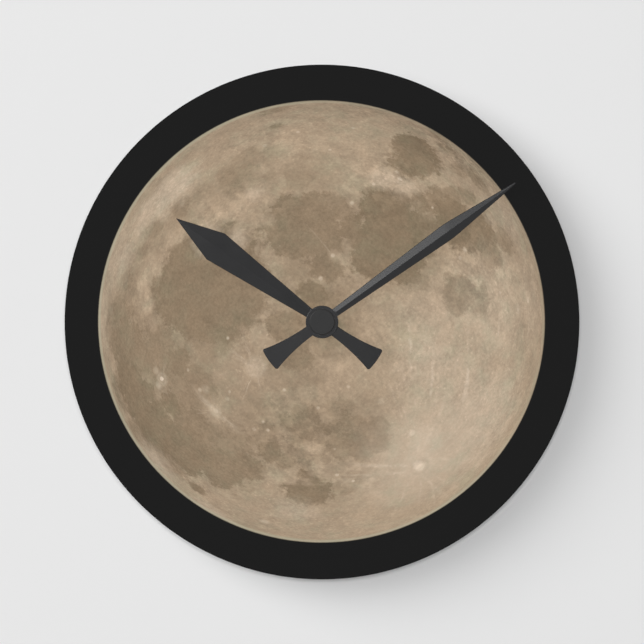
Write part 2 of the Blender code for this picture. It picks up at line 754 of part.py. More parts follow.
def build_case_back(clock):
    """Rear cover: battery opening, knob's cup, pivot bosses and locating lugs."""
    bm = bmesh.new()
    half_width = BATTERY_LENGTH / 2 + SEAT
    half_height = BATTERY_DIAMETER / 2 + SEAT
    opening = rectangle(-half_width, battery_y - half_height, half_width, battery_y + half_height)
    outer_low, outer_top = add_steps(bm, 0.0, [(case_outline(), z_cover)], open_end=True)
    opening_low, opening_top = add_steps(bm, 0.0, [(opening, z_cover)], open_end=True)
    cup_inside = (circle(cup_bore, centre=knob_axis), z_cup_floor)
    stem_inside = (circle(stem_hole, SMALL_STEPS, knob_axis), z_cup_top)
    cup_low, stem_ring = add_steps(bm, 0.0, [cup_inside, stem_inside], open_end=True)
    cup_outside = (circle(cup_radius, centre=knob_axis), z_cup_top)
    cup_base, cup_end = add_steps(bm, z_cover, [cup_outside], open_end=True)
    fill(bm, [cup_end, stem_ring])
    inner_rings = [outer_top, opening_top, cup_base]
    for axis in (AXIS, third_axis, fifth_axis, rotor_axis):
        boss = (circle(BOSS_RADIUS, SMALL_STEPS, axis), z_boss)
        socket = (circle(pivot_hole, PIN_STEPS, axis), z_boss - PIVOT_LENGTH)
        inner_rings.append(add_steps(bm, z_cover, [boss, socket])[0])
    lug_edge = inner_half_width - SEAT
    lug_top_y = inner_top_y - SEAT
    lugs = [
        rectangle(lug_edge - LUG_THICKNESS, 0.0, lug_edge, LUG_WIDTH),
        rectangle(-LUG_WIDTH / 2, lug_top_y - LUG_THICKNESS, LUG_WIDTH / 2, lug_top_y),
    ]
    for side_edge in (lug_edge - LUG_THICKNESS, -lug_edge):
        low = inner_top_y - 2 * LUG_WIDTH
        lugs.append(rectangle(side_edge, low, side_edge + LUG_THICKNESS, low + LUG_WIDTH))
    for lug in lugs:
        inner_rings.append(add_steps(bm, z_cover, [(lug, z_cover + LUG_LENGTH)])[0])
    fill(bm, [outer_low, opening_low, cup_low])
    fill(bm, inner_rings)
    add_object("case_back", bm, "black plastic", clock)


def build_middle_plate(clock):
    """Inner plate that carries the wheels' front pivots."""
    bm = bmesh.new()
    pinion_hole = outer_radius(THIRD_MODULE, THIRD_LEAVES) + SEAT
    bearings = [AXIS, fifth_axis, rotor_axis, minute_axis]
    circles = [(axis, PLATE_MARGIN) for axis in (*bearings, *plate_posts)]
    circles.append((third_axis, PLATE_MARGIN + pinion_hole - PEG_RADIUS))
    holes = [circle(SECOND_ARBOR_RADIUS + SEAT, SMALL_STEPS, AXIS)]
    holes += [circle(pivot_hole, PIN_STEPS, axis) for axis in bearings[1:]]
    holes += [circle(PEG_RADIUS + SEAT, PIN_STEPS, axis) for axis in plate_posts]
    holes.append(circle(pinion_hole, SMALL_STEPS, third_axis))
    add_plate(bm, z_plate, z_plate_top, hull(circles), holes)
    add_object("middle_plate", bm, "natural plastic", clock)


def build_bushing(clock):
    """Brass bush that the hour wheel's pipe turns in, flanged inside the case."""
    bm = bmesh.new()
    flange_top = z_inner + BUSHING_FLANGE_THICKNESS
    profile = [
        (bushing_bore, z_inner),
        (flange_radius, z_inner),
        (flange_radius, flange_top),
        (bushing_radius, flange_top),
        (bushing_radius, z_bushing_end),
        (bushing_bore, z_bushing_end),
    ]
    add_turning(bm, profile, ring_shaped=True)
    add_object("threaded_bushing", bm, "brass", clock)


def build_fastening(clock):
    """Gasket, washer and hexagon nut that clamp the dial plate."""
    rings = (
        ("rubber_gasket", "rubber", z_gasket, GASKET_THICKNESS, circle(GASKET_RADIUS)),
        ("dial_washer", "brass", z_washer, WASHER_THICKNESS, circle(WASHER_RADIUS)),
        ("hex_nut", "brass", z_nut, NUT_THICKNESS, circle(NUT_ACROSS_FLATS / math.sqrt(3.0), 6)),
    )
    for name, finish, height, thickness, outline in rings:
        bm = bmesh.new()
        add_plate(bm, height, height + thickness, outline, [circle(bushing_hole)])
        add_object(name, bm, finish, clock)


def build_dial(clock):
    """Round dial plate and the printed sheet on its face."""
    layers = (
        ("dial_plate", "acrylic", z_dial, DIAL_THICKNESS),
        ("dial_print", "print", z_print, PRINT_THICKNESS),
    )
    for name, finish, height, thickness in layers:
        bm = bmesh.new()
        outline = circle(DIAL_DIAMETER / 2, DIAL_STEPS)
        add_plate(bm, height, height + thickness, outline, [circle(bushing_hole)])
        add_object(name, bm, finish, clock)


def build_hanger(clock):
    """Bent steel plate between the case and the dial, with a keyhole above the case."""
    bm = bmesh.new()
    front = z_hanger + HANGER_THICKNESS / 2
    rear = HANGER_WALL_GAP + HANGER_THICKNESS / 2
    corners = [
        (front, -HANGER_BELOW_AXIS),
        (front, hanger_y),
        (rear, hanger_y),
        (rear, hanger_top_y),
    ]
    outline = strip_outline(rounded_path(corners, HANGER_BEND), HANGER_THICKNESS)
    add_plate(bm, -HANGER_WIDTH / 2, HANGER_WIDTH / 2, outline)
    hanger = add_object("hanger_plate", bm, "steel", clock, rotation=(0.0, math.radians(-90.0), 0.0))
    hanger_front = z_hanger + HANGER_THICKNESS
    hanger_rear = HANGER_WALL_GAP + HANGER_THICKNESS
    cutters = [
        (circle(bushing_hole), z_hanger - SEAT, hanger_front + SEAT),
        (keyhole_outline(keyhole_y), HANGER_WALL_GAP - SEAT, hanger_rear + SEAT),
    ]
    cut(hanger, "hanger_holes", cutters)


def build_hands(clock):
    """Hour hand, minute hand and the closed nut over them."""
    hour_root = math.sqrt(HOUR_BOSS_RADIUS ** 2 - HOUR_ROOT_HALF_WIDTH ** 2)
    hour_stations = blade_stations(
        hour_root, HOUR_SHOULDER, HOUR_HALF_WIDTH, HOUR_LENGTH, HOUR_ROOT_HALF_WIDTH, 0.0
    )
    make_hand(
        "hour_hand", clock, z_hour_hand, HOUR_DEGREES_FROM_TWELVE, HOUR_BOSS_RADIUS,
        circle(hour_pipe + SEAT), hour_stations, HOUR_RIDGE, HOUR_LENGTH, HOUR_TAIL_LENGTH,
    )
    minute_root = math.sqrt(MINUTE_BOSS_RADIUS ** 2 - MINUTE_ROOT_HALF_WIDTH ** 2)
    minute_stations = blade_stations(
        minute_root, MINUTE_SHOULDER, MINUTE_HALF_WIDTH, MINUTE_LENGTH,
        MINUTE_ROOT_HALF_WIDTH, MINUTE_TIP_HALF_WIDTH,
    )
    seat_radius = minute_pipe - MINUTE_SHOULDER_STEP
    seat_hole = flatted_circle(seat_radius + SEAT, MINUTE_FLAT_HALF_WIDTH + SEAT)
    make_hand(
        "minute_hand", clock, z_minute_hand, MINUTE_DEGREES_FROM_TWELVE, MINUTE_BOSS_RADIUS,
        seat_hole, minute_stations, MINUTE_RIDGE, MINUTE_LENGTH, MINUTE_TAIL_LENGTH,
    )
    bm = bmesh.new()
    profile = [
        (seat_radius + SEAT, CAP_HEIGHT - CAP_WALL),
        (seat_radius + SEAT, 0.0),
        (CAP_RADIUS, 0.0),
        (CAP_RADIUS, CAP_HEIGHT - CAP_BEVEL),
        (CAP_RADIUS - CAP_BEVEL, CAP_HEIGHT),
    ]
    add_turning(bm, profile, HUB_STEPS)
    add_object("hand_cap_nut", bm, "black paint", clock, (0.0, 0.0, z_cap))


def build_minute_arbor(clock):
    """Pipe with a collar, the cannon pinion and the minute hand's flatted seat."""
    bm = bmesh.new()
    turned = math.radians(90.0 - MINUTE_DEGREES_FROM_TWELVE)
    seat_radius = minute_pipe - MINUTE_SHOULDER_STEP
    steps = [
        (circle(minute_pipe + COLLAR_WIDTH), z_collar + COLLAR_THICKNESS),
        (circle(minute_pipe), z_cannon),
        (toothed_outline(CANNON_MODULE, CANNON_LEAVES, cannon_phase - turned), z_cannon + PINION_LENGTH),
        (circle(minute_pipe), z_minute_hand - SEAT),
        (flatted_circle(seat_radius, MINUTE_FLAT_HALF_WIDTH), z_minute_pipe_end),
    ]
    add_stack(bm, z_collar, steps, bore=circle(minute_bore, SMALL_STEPS))
    add_object("minute_arbor", bm, "steel", clock, rotation=(0.0, 0.0, turned))


def build_hour_wheel(clock):
    """Hour wheel and the pipe that carries the hour hand."""
    bm = bmesh.new()
    steps = [
        (toothed_outline(hour_module, HOUR_TEETH, hour_phase), z_hour + WHEEL_THICKNESS),
        (circle(hour_pipe), z_hour_pipe_end),
    ]
    add_stack(bm, z_hour, steps, bore=circle(hour_bore))
    add_object("hour_wheel", bm, "white plastic", clock)


def build_centre_wheel(clock):
    """Centre wheel, whose hub grips the minute arbor and slips when the hands are set."""
    bm = bmesh.new()
    steps = [
        (toothed_outline(THIRD_MODULE, CENTRE_TEETH, centre_phase), z_centre + WHEEL_THICKNESS),
        (circle(hour_bore + HUB_WIDTH), z_hub_top),
    ]
    add_stack(bm, z_centre, steps, bore=circle(hour_bore))
    add_object("centre_wheel", bm, "natural plastic", clock)


def geared_arbor(first_height, wheel, pinion, end_steps):
    """Steps of an arbor from its rear pivot: shoulder, wheel, pinion, then the given end.

    The wheel and the pinion are each an outline, its lower height and its length.
    """
    steps = [(circle(PIVOT_RADIUS, PIN_STEPS), first_height)]
    for outline, height, length in (wheel, pinion):
        if height > steps[-1][1]:
            steps.append((circle(ARBOR_RADIUS, SMALL_STEPS), height))
        steps.append((outline, height + length))
    return steps + end_steps


def build_arbor(clock, name, finish, axis, height, steps):
    """Wheel on its arbor, standing on its own axis."""
    bm = bmesh.new()
    add_stack(bm, height, steps)
    add_object(name, bm, finish, clock, (axis[0], axis[1], 0.0))


def build_going_train(clock):
    """Third, second and fifth wheels and the rotor's pinion."""
    overlap = (PINION_LENGTH - WHEEL_THICKNESS) / 2
    rear = z_shoulder - PIVOT_LENGTH
    plate_shoulder = z_plate - SEAT
    plate_end = [
        (circle(ARBOR_RADIUS, SMALL_STEPS), plate_shoulder),
        (circle(PIVOT_RADIUS, PIN_STEPS), plate_shoulder + PIVOT_LENGTH),
    ]
    third_end = [(circle(PIVOT_RADIUS, PIN_STEPS), z_inner - SEAT + PIVOT_LENGTH)]
    second_end = [(circle(SECOND_ARBOR_RADIUS, PIN_STEPS), z_minute_hand)]
    third = geared_arbor(
        z_shoulder,
        (toothed_outline(third_wheel_module, THIRD_TEETH, third_phase), z_third, WHEEL_THICKNESS),
        (
            toothed_outline(THIRD_MODULE, THIRD_LEAVES, third_pinion_phase),
            z_centre - overlap, PINION_LENGTH,
        ),
        third_end,
    )
    second = geared_arbor(
        z_shoulder,
        (toothed_outline(SECOND_MODULE, SECOND_TEETH, second_phase), z_second, WHEEL_THICKNESS),
        (
            toothed_outline(third_wheel_module, SECOND_LEAVES, second_pinion_phase),
            z_third - overlap, PINION_LENGTH,
        ),
        second_end,
    )
    fifth = geared_arbor(
        z_shoulder,
        (toothed_outline(FIFTH_MODULE, FIFTH_TEETH, fifth_phase), z_fifth, WHEEL_THICKNESS),
        (
            toothed_outline(SECOND_MODULE, FIFTH_LEAVES, fifth_pinion_phase),
            z_second - overlap, PINION_LENGTH,
        ),
        plate_end,
    )
    rotor = [
        (circle(PIVOT_RADIUS, PIN_STEPS), z_shoulder),
        (circle(ARBOR_RADIUS, SMALL_STEPS), z_rotor_pinion),
        (toothed_outline(FIFTH_MODULE, ROTOR_LEAVES, rotor_phase), z_rotor_pinion + PINION_LENGTH),
    ]
    build_arbor(clock, "third_wheel", "natural plastic", third_axis, rear, third)
    build_arbor(clock, "second_wheel", "natural plastic", AXIS, rear, second)
    build_arbor(clock, "fifth_wheel", "natural plastic", fifth_axis, rear, fifth)
    build_arbor(clock, "rotor_pinion", "white plastic", rotor_axis, rear, rotor + plate_end)


def build_minute_wheel(clock):
    """Reverse wheel between the cannon pinion and the hour wheel."""
    shoulder = z_plate_top + SEAT
    steps = [
        (circle(PIVOT_RADIUS, PIN_STEPS), shoulder),
        (circle(ARBOR_RADIUS, SMALL_STEPS), z_minute),
        (toothed_outline(CANNON_MODULE, MINUTE_TEETH, minute_phase), z_minute + WHEEL_THICKNESS),
        (toothed_outline(hour_module, MINUTE_LEAVES, minute_pinion_phase), z_inner - SEAT),
        (circle(PIVOT_RADIUS, PIN_STEPS), z_inner - SEAT + PIVOT_LENGTH),
    ]
    build_arbor(clock, "minute_wheel", "white plastic", minute_axis, shoulder - PIVOT_LENGTH, steps)


def build_setting_knob(clock):
    """Knob in the rear cover's cup, with the stem and pinion that reach the minute wheel."""
    collar_height = z_cup_top + SEAT
    steps = [
        (grooved_circle(KNOB_RADIUS, KNOB_GROOVE, KNOB_GROOVE_COUNT), z_knob_top),
        (circle(KNOB_STEM_RADIUS, SMALL_STEPS), collar_height),
        (circle(KNOB_COLLAR_RADIUS, SMALL_STEPS), collar_height + COLLAR_THICKNESS),
        (circle(KNOB_STEM_RADIUS, SMALL_STEPS), z_cannon),
        (toothed_outline(CANNON_MODULE, KNOB_LEAVES, knob_phase), z_cannon + PINION_LENGTH),
        (circle(ARBOR_RADIUS, SMALL_STEPS), z_inner - SEAT),
        (circle(PIVOT_RADIUS, PIN_STEPS), z_inner - SEAT + PIVOT_LENGTH),
    ]
    build_arbor(clock, "setting_knob", "white plastic", knob_axis, KNOB_RECESS, steps)


def build_motor(clock):
    """Rotor magnet, stator, coil core, bobbin and winding of the stepping motor."""
    bm = bmesh.new()
    magnet = circle(MAGNET_RADIUS, ROUND_STEPS)
    add_plate(bm, z_magnet, z_magnet + MAGNET_LENGTH, magnet, [circle(ARBOR_RADIUS + SEAT, SMALL_STEPS)])
    add_object("rotor_magnet", bm, "magnet", clock, (rotor_axis[0], rotor_axis[1], 0.0))

    rim = stator_bore + STATOR_RIM
    arm_end = coil_x - CORE_HALF_WIDTH
    limb_left = rotor_axis[0] - rim
    limb_right = limb_left + STATOR_ARM
    top = upper_arm_y + arm_half
    outline = [
        (arm_end, stator_low_y),
        (rotor_axis[0] + rim, stator_low_y),
        (rotor_axis[0] + rim, rotor_axis[1] + rim),
        (limb_right, rotor_axis[1] + rim),
        (limb_right, top),
        (arm_end, top),
        (arm_end, top - STATOR_ARM),
        (limb_left, top - STATOR_ARM),
        (limb_left, stator_low_y + STATOR_ARM),
        (arm_end, stator_low_y + STATOR_ARM),
    ]
    peg_holes = [circle(PEG_RADIUS + SEAT, PIN_STEPS, peg) for peg in coil_pegs]
    bm = bmesh.new()
    rotor_hole = circle(stator_bore, centre=rotor_axis)
    add_plate(bm, z_stator, z_stator + STATOR_THICKNESS, outline, [rotor_hole, *peg_holes])
    add_object("stator_plate", bm, "steel", clock)

    bm = bmesh.new()
    bar = rectangle(coil_x - CORE_HALF_WIDTH, stator_low_y, coil_x + CORE_HALF_WIDTH, top)
    add_plate(bm, z_core, z_core_top, bar, peg_holes)
    add_object("coil_core", bm, "steel", clock)

    flange = BOBBIN_FLANGE_THICKNESS
    bobbin = [
        (bobbin_bore, 0.0),
        (bobbin_flange, 0.0),
        (bobbin_flange, flange),
        (bobbin_tube, flange),
        (bobbin_tube, BOBBIN_LENGTH - flange),
        (bobbin_flange, BOBBIN_LENGTH - flange),
        (bobbin_flange, BOBBIN_LENGTH),
        (bobbin_bore, BOBBIN_LENGTH),
    ]
    low = flange + SEAT
    high = BOBBIN_LENGTH - flange - SEAT
    winding_bore = bobbin_tube + SEAT
    winding_radius = bobbin_flange - SEAT
    winding = [(winding_bore, low), (winding_radius, low), (winding_radius, high), (winding_bore, high)]
    turned_pieces = (("coil_bobbin", "white plastic", bobbin), ("coil_winding", "copper", winding))
    for name, finish, profile in turned_pieces:
        bm = bmesh.new()
        add_turning(bm, profile, ring_shaped=True)
        lying = (math.radians(-90.0), 0.0, 0.0)
        add_object(name, bm, finish, clock, (coil_x, coil_low_y, z_coil), lying)


def build_electronics(clock):
    """Circuit board with the quartz crystal's can and the covered chip on it."""
    bm = bmesh.new()
    add_plate(bm, z_board, z_board_top, rectangle(board_left, board_low_y, board_right, board_top_y))
    add_object("circuit_board", bm, "board", clock)

    bm = bmesh.new()
    can_end = CRYSTAL_RADIUS / 4
    profile = [
        (CRYSTAL_RADIUS - can_end, 0.0),
        (CRYSTAL_RADIUS, can_end),
        (CRYSTAL_RADIUS, CRYSTAL_LENGTH - can_end),
        (CRYSTAL_RADIUS - can_end, CRYSTAL_LENGTH),
    ]
    add_turning(bm, profile, SMALL_STEPS)
    board_middle_y = (board_low_y + board_top_y) / 2
    crystal_place = (
        board_right - CRYSTAL_RADIUS - CRYSTAL_LENGTH, board_middle_y, z_board_top + SEAT + CRYSTAL_RADIUS
    )
    lying = (0.0, math.radians(90.0), 0.0)
    add_object("quartz_crystal", bm, "nickel", clock, crystal_place, lying)

    bm = bmesh.new()
    dome = [math.radians(90.0 * step / CORNER_STEPS) for step in range(CORNER_STEPS)]
    profile = [(CHIP_RADIUS * math.cos(angle), CHIP_HEIGHT * math.sin(angle)) for angle in dome]
    add_turning(bm, profile, SMALL_STEPS)
    chip_x = crystal_place[0] - CRYSTAL_RADIUS - CHIP_RADIUS
    add_object("chip_cover", bm, "resin", clock, (chip_x, board_middle_y, z_board_top + SEAT))


def contact_path(side):
    """Bent strip at one end of the battery: side is 1 at its button, -1 at its base."""
    x = side * (inner_half_width - SEAT - CONTACT_THICKNESS / 2)
    touch_x = x - side * CONTACT_BULGE
    half = CONTACT_BULGE_HALF_LENGTH
    corners = [
        (x, battery_y - BATTERY_DIAMETER / 2),
        (x, battery_y - half),
        (touch_x, battery_y),
        (x, battery_y + half),
    ]
    if side > 0:
        run_y = bay_top + SEAT + CONTACT_THICKNESS / 2
        corners += [(x, run_y), (board_right - CONTACT_REACH, run_y)]
    else:
        run_y = stator_low_y - PLAY - CONTACT_THICKNESS / 2
        corners += [(x, run_y), (board_left + CONTACT_REACH, run_y)]
    return rounded_path(corners, CONTACT_THICKNESS)


def build_power(clock):
    """Battery and the two contact strips that lead to the circuit board."""
    for name, side in (("contact_positive", 1), ("contact_negative", -1)):
        bm = bmesh.new()
        add_plate(bm, z_contact, z_contact_top, strip_outline(contact_path(side), CONTACT_THICKNESS))
        add_object(name, bm, "nickel", clock)
    bm = bmesh.new()
    radius = BATTERY_DIAMETER / 2
    base = -BATTERY_LENGTH / 2
    button = BATTERY_LENGTH / 2 - BATTERY_BUTTON_LENGTH
    profile = [
        (radius - BATTERY_EDGE, base),
        (radius, base + BATTERY_EDGE),
        (radius, button - BATTERY_EDGE),
        (radius - BATTERY_EDGE, button),
        (BATTERY_BUTTON_RADIUS, button),
        (BATTERY_BUTTON_RADIUS, BATTERY_LENGTH / 2),
    ]
    add_turning(bm, profile)
    lying = (0.0, math.radians(90.0), 0.0)
    add_object("aa_cell", bm, "battery sleeve", clock, (0.0, battery_y, z_battery), lying)


def main():
    """Clear the scene and build the clock under its upright parent."""
    for item in list(bpy.data.objects):
        bpy.data.objects.remove(item, do_unlink=True)
    clock = bpy.data.objects.new("clock", None)
    bpy.context.collection.objects.link(clock)
    clock.rotation_euler = (math.radians(90.0), 0.0, 0.0)
    build_case_front(clock)
    build_case_back(clock)
    build_middle_plate(clock)
    build_bushing(clock)
    build_fastening(clock)
    build_dial(clock)
    build_hanger(clock)
    build_hands(clock)
    build_minute_arbor(clock)
    build_hour_wheel(clock)
    build_centre_wheel(clock)
    build_minute_wheel(clock)
    build_going_train(clock)
    build_setting_knob(clock)
    build_motor(clock)
    build_electronics(clock)
    build_power(clock)
    bpy.context.view_layer.update()


main()
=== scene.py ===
"""Looks of the round moon wall clock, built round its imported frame."""

import json
import math

import bpy
from bpy.props import FloatProperty, FloatVectorProperty, IntProperty, PointerProperty
from mathutils import Matrix, Vector


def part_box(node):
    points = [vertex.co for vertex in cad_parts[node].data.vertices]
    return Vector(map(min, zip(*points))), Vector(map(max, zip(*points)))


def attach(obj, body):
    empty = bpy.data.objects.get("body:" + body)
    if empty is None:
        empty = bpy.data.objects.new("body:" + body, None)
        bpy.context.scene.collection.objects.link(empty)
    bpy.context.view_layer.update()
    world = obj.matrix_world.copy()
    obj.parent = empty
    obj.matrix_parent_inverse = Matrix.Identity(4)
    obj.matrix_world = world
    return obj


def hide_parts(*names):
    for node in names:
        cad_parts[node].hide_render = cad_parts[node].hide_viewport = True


bl_info = {
    "name": "Moon Wall Clock",
    "version": (1, 0, 0),
    "blender": (4, 5, 0),
    "location": "View3D > Sidebar > Moon Clock",
    "description": "Builds a round wall clock with a full moon dial, two hands and a battery movement",
    "category": "Add Mesh",
}

MM = 0.001
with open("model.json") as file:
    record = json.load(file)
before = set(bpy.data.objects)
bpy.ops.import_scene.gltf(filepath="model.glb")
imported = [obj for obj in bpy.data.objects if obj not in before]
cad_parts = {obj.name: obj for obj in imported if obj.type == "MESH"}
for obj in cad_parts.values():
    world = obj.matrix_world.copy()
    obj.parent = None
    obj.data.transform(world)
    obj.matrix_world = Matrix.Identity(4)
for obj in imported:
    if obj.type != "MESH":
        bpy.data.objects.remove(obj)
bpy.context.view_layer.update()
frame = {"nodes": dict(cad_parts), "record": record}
BODY_OF = {
    node: body
    for body, nodes in frame["record"]["behaviour"]["bodies"].items()
    for node in nodes
}

# The Moon as it is printed: the libration and the turn of lunar north, in degrees.
LUNAR_LATITUDE = 6.5
LUNAR_LONGITUDE = 1.0
LUNAR_TURN = 45.25
LUNAR_RADIUS = 1737.4

# The moon's middle on the face, in units of its half width and height.
MOON_OFFSET = (0.0023, 0.0, -0.0025)
PRINT_GLOSS = 0.023
PRINT_ROUGHNESS = 0.44

# Noises on the print: scale, detail and roughness.
BROAD_SHIFT = (5.0, 5.0, 0.6)
FINE_SHIFT = (26.0, 4.0, 0.6)
TORN_EDGES = (15.0, 9.0, 0.72)
RAY_PATCHES = (13.0, 4.0, 0.62)
HILLS = (17.0, 7.0, 0.68)
MOTTLE = (9.0, 8.0, 0.68)
SPECKLE = (70.0, 3.0, 0.7)
TINTS = (6.5, 6.0, 0.65)

# Edges of the patches of tone, in shares of their radius, and the least edge of a dark one.
SEA_EDGE = 0.1
GAP_EDGE = 0.22
VEIL_EDGE = 0.55
LAND_EDGE = 0.8
COUNTRY_EDGE = 0.7
LEAST_EDGE = 0.01

# How strongly each kind of unevenness lightens or darkens the print.
MOTTLE_LIGHT = 0.5
SPECKLE_LIGHT = 0.62
RING_LIGHT = 0.09
DOT_LIGHT = 0.16
FLOOR_LIGHT = 0.05
COLLAR_LIGHT = -0.09
LIMB_LIGHT = -0.17
RAY_COVER = 0.75

# Colours that the tints multiply the print by.
PINKISH = (1.025, 0.985, 0.975, 1.0)
GREENISH = (0.97, 1.012, 1.0, 1.0)

# Bake map of the print: middle and half size of the face, the back and the strip of the edge.
FACE_ON_MAP = (0.5, 0.495)
BACK_ON_MAP = (0.068, 0.06)
EDGE_ON_MAP = (0.86, 0.06, 0.93)

# Play round the bush, and the cap nut's bore, depth of bore, corner round and lower edge.
HOLE_PLAY = 0.3 * MM
CAP_BORE = 1.65 * MM
CAP_WALL = 0.7 * MM
CAP_ROUND = 0.35 * MM
CAP_EDGE = 0.1 * MM

# The battery's pale band and bare ends, from its plus end or its minus end.
BAND_LENGTH = 13.0 * MM
PLUS_END = 2.2 * MM
MINUS_END = 1.4 * MM
SLEEVE_BLUR = 0.05 * MM

# Lamps: direction, distance, length and width. Light of the room in front of the dial and behind.
KEY_LAMP = ((-0.71, -1.0, 0.41), 4.5, 5.4, 2.4)
FILL_LAMP = ((0.0, -1.0, 0.03), 4.0, 0.6, 0.6)
REAR_LAMP = ((0.5, 0.8, 0.6), 2.2, 1.2, 1.2)
FRONT_AMBIENT = 0.06
REAR_AMBIENT = 0.75
FRONT_MIRRORED = 0.25
BACKDROP = 0.8
WALL_SIZE = 1.3
WALL_GAP = 0.0005

ORIGIN = (0.0, 0.0, 0.0)
MIDDLE = (0.5, 0.5, 0.5)
EAST = (1.0, 0.0, 0.0)
NORTH = (0.0, 1.0, 0.0)
OUTWARD = (0.0, 0.0, 1.0)
GREY = (0.5, 0.5, 0.5, 1.0)
WHITE = (1.0, 1.0, 1.0, 1.0)
QUARTER = math.radians(90.0)

# Small craters: rings or dots, how many across, their size in a cell and the share of cells with one.
CRATERLETS = (
    ("Rings", 13, 0.26, 0.5), ("Rings", 24, 0.26, 0.5), ("Dots", 36, 0.24, 0.35), ("Dots", 62, 0.3, 0.35),
)

# Dark seas: latitude, longitude, radius in km and depth of tone.
SEAS = (
    (16.5, 55.8, 180, 1), (17, 65.5, 205, 1), (15.5, 60.5, 190, 1), (5, 68, 100, 0.5),
    (20, 61.5, 120, 0.95), (-25, -9.5, 105, 0.9), (13, 86, 150, 0.45), (-1, 87, 180, 0.5),
    (27.5, 18, 325, 0.9), (31, 14, 225, 0.88), (17.5, 25, 120, 0.95), (24, 27.5, 130, 0.75),
    (8.5, 25, 260, 1), (9, 33, 290, 1.05), (14.5, 36, 200, 1.05), (2, 28, 190, 1), (3, 38, 190, 0.95),
    (19, 38.5, 85, 0.7), (-4.5, 27, 105, 0.6), (-2, 49, 255, 1.05), (-8, 53, 215, 1), (-15, 52, 130, 0.85),
    (4, 51, 160, 0.9), (2.8, 41.8, 117, 0.8), (4.1, 53.1, 117, 0.75), (-0.5, 60.2, 102, 0.7),
    (-7.6, 55.8, 110, 0.6), (-0.8, 72, 125, 0.6), (-15.8, 61.9, 130, 0.65), (-15, 34.5, 165, 0.9),
    (-20, 38, 130, 0.75), (13, 4, 120, 1), (1.6, 0.5, 115, 0.6), (12.3, -6.5, 140, 0.85),
    (15.5, 11.5, 130, 0.9), (4.2, -10.6, 135, 0.85), (34, -15, 500, 0.93), (37.5, -21, 400, 0.95),
    (27, -22, 310, 0.7), (44.5, -31.9, 117, 0.8), (51, -52, 180, 0.5), (43, -62, 260, 0.75),
    (34, -58, 290, 0.85), (24, -63, 290, 0.95), (14, -62, 310, 0.98), (5, -57, 290, 0.95),
    (-4, -52, 250, 0.88), (26, -73, 180, 0.6), (14, -74, 180, 0.65), (4, -68, 170, 0.6),
    (17, -40, 240, 0.75), (24.4, -38.5, 130, 0.9), (30, -44, 250, 0.8), (0, -42, 240, 0.75),
    (8, -48, 250, 0.85), (-9, -44, 150, 0.9), (7, -32, 180, 0.35), (-1, -29, 180, 0.55), (3, -16, 140, 0.5),
    (-10, -23, 190, 0.75), (-6, -32, 160, 0.65), (-21.5, -16.5, 230, 0.78), (-25, -13, 170, 0.85),
    (-14, -12, 130, 0.62), (-26.5, -18, 125, 0.8), (-24.3, -39, 215, 1), (-31.5, -31, 110, 0.6),
    (37, 30, 125, 0.6), (45, 27, 70, 0.5), (54.9, 33.6, 102, 0.5), (55.9, 25.6, 86, 0.45),
    (60.5, -8, 110, 0.7), (60.8, -26, 94, 0.7), (57.5, -39, 90, 0.6), (52.7, -50.9, 94, 0.65),
    (49.4, -57.3, 102, 0.55), (45.9, -64.6, 102, 0.55), (57, 80, 130, 0.5), (-38, 88, 220, 0.5),
    (-5.4, -68.3, 80, 0.95), (51.6, -9.3, 50, 0.9), (53.6, 56.5, 52, 0.7), (2, -3.5, 110, 0.6),
    (-33.1, -28.8, 70, 0.45), (-13, -51, 80, 0.45), (11.5, 41.5, 100, 0.95), (7.5, 45.5, 110, 0.95),
    (5.5, 50.5, 110, 0.85), (2.5, 56.5, 110, 0.8), (-9, -35.1, 110, 0.9), (-13.9, -34.5, 90, 0.75),
    (17, -50, 120, 1), (-32, -26.5, 90, 0.65), (19.9, 6.6, 100, 0.6), (9.4, 5.7, 100, 0.8),
    (14, -36.5, 110, 0.75), (19, 19, 110, 0.9), (9.9, 76, 90, 0.5), (-14.7, 43.5, 60, 0.4),
    (-28, -12.5, 120, 0.9), (27, 28.5, 80, 0.75), (-10, 30.3, 60, 0.4), (15, 22.5, 80, 0.9),
)

# Bright land that breaks into the seas, with the share of the dark tone that it takes away.
SEA_GAPS = (
    (8.4, 44.4, 36, 0.3), (5.5, 47.5, 30, 0.3), (52, -34.7, 78, 0.8), (47.7, -41.2, 74, 0.8),
    (54.4, 2, 85, 0.5), (42.4, -41.3, 86, 0.8), (36.8, -41.9, 66, 0.6), (53.5, -19.6, 63, 0.6),
    (7.9, -38.3, 110, 0.5), (2.6, -37, 63, 0.4), (-15, -41, 95, 0.6), (-17.5, -38.4, 94, 0.7),
    (-8.6, -28.9, 70, 0.5), (-16.1, -25.6, 70, 0.6), (-22.8, -30.1, 94, 0.7), (16, 16.5, 47, 0.6),
    (16.1, 20.3, 47, 0.45), (15.8, -28.2, 94, 0.35), (11.8, -22.9, 110, 0.45), (36.2, 11.1, 63, 0.6),
)

# Broad soft shading round the seas: latitude, longitude, radius in km and depth of tone.
VEILS = (
    (5, -40, 700, 0.46), (30, -45, 550, 0.55), (-12, -25, 420, 0.5), (45, -60, 350, 0.4), (8, 2, 360, 0.62),
    (21, 8, 190, 0.55), (28, 18, 400, 0.5), (8, 31, 440, 0.6), (-4, 51, 360, 0.4), (36, 33, 280, 0.45),
    (-20, -14, 380, 0.4), (-26, -38, 290, 0.4), (17, 59, 280, 0.25), (55, -45, 190, 0.4),
    (58, -28, 170, 0.4), (59, -10, 180, 0.45), (57, 6, 190, 0.48), (54, 21, 200, 0.72), (50, 34, 160, 0.4),
    (19.4, -30.2, 200, 0.6), (1.5, -12.5, 230, 0.5),
)

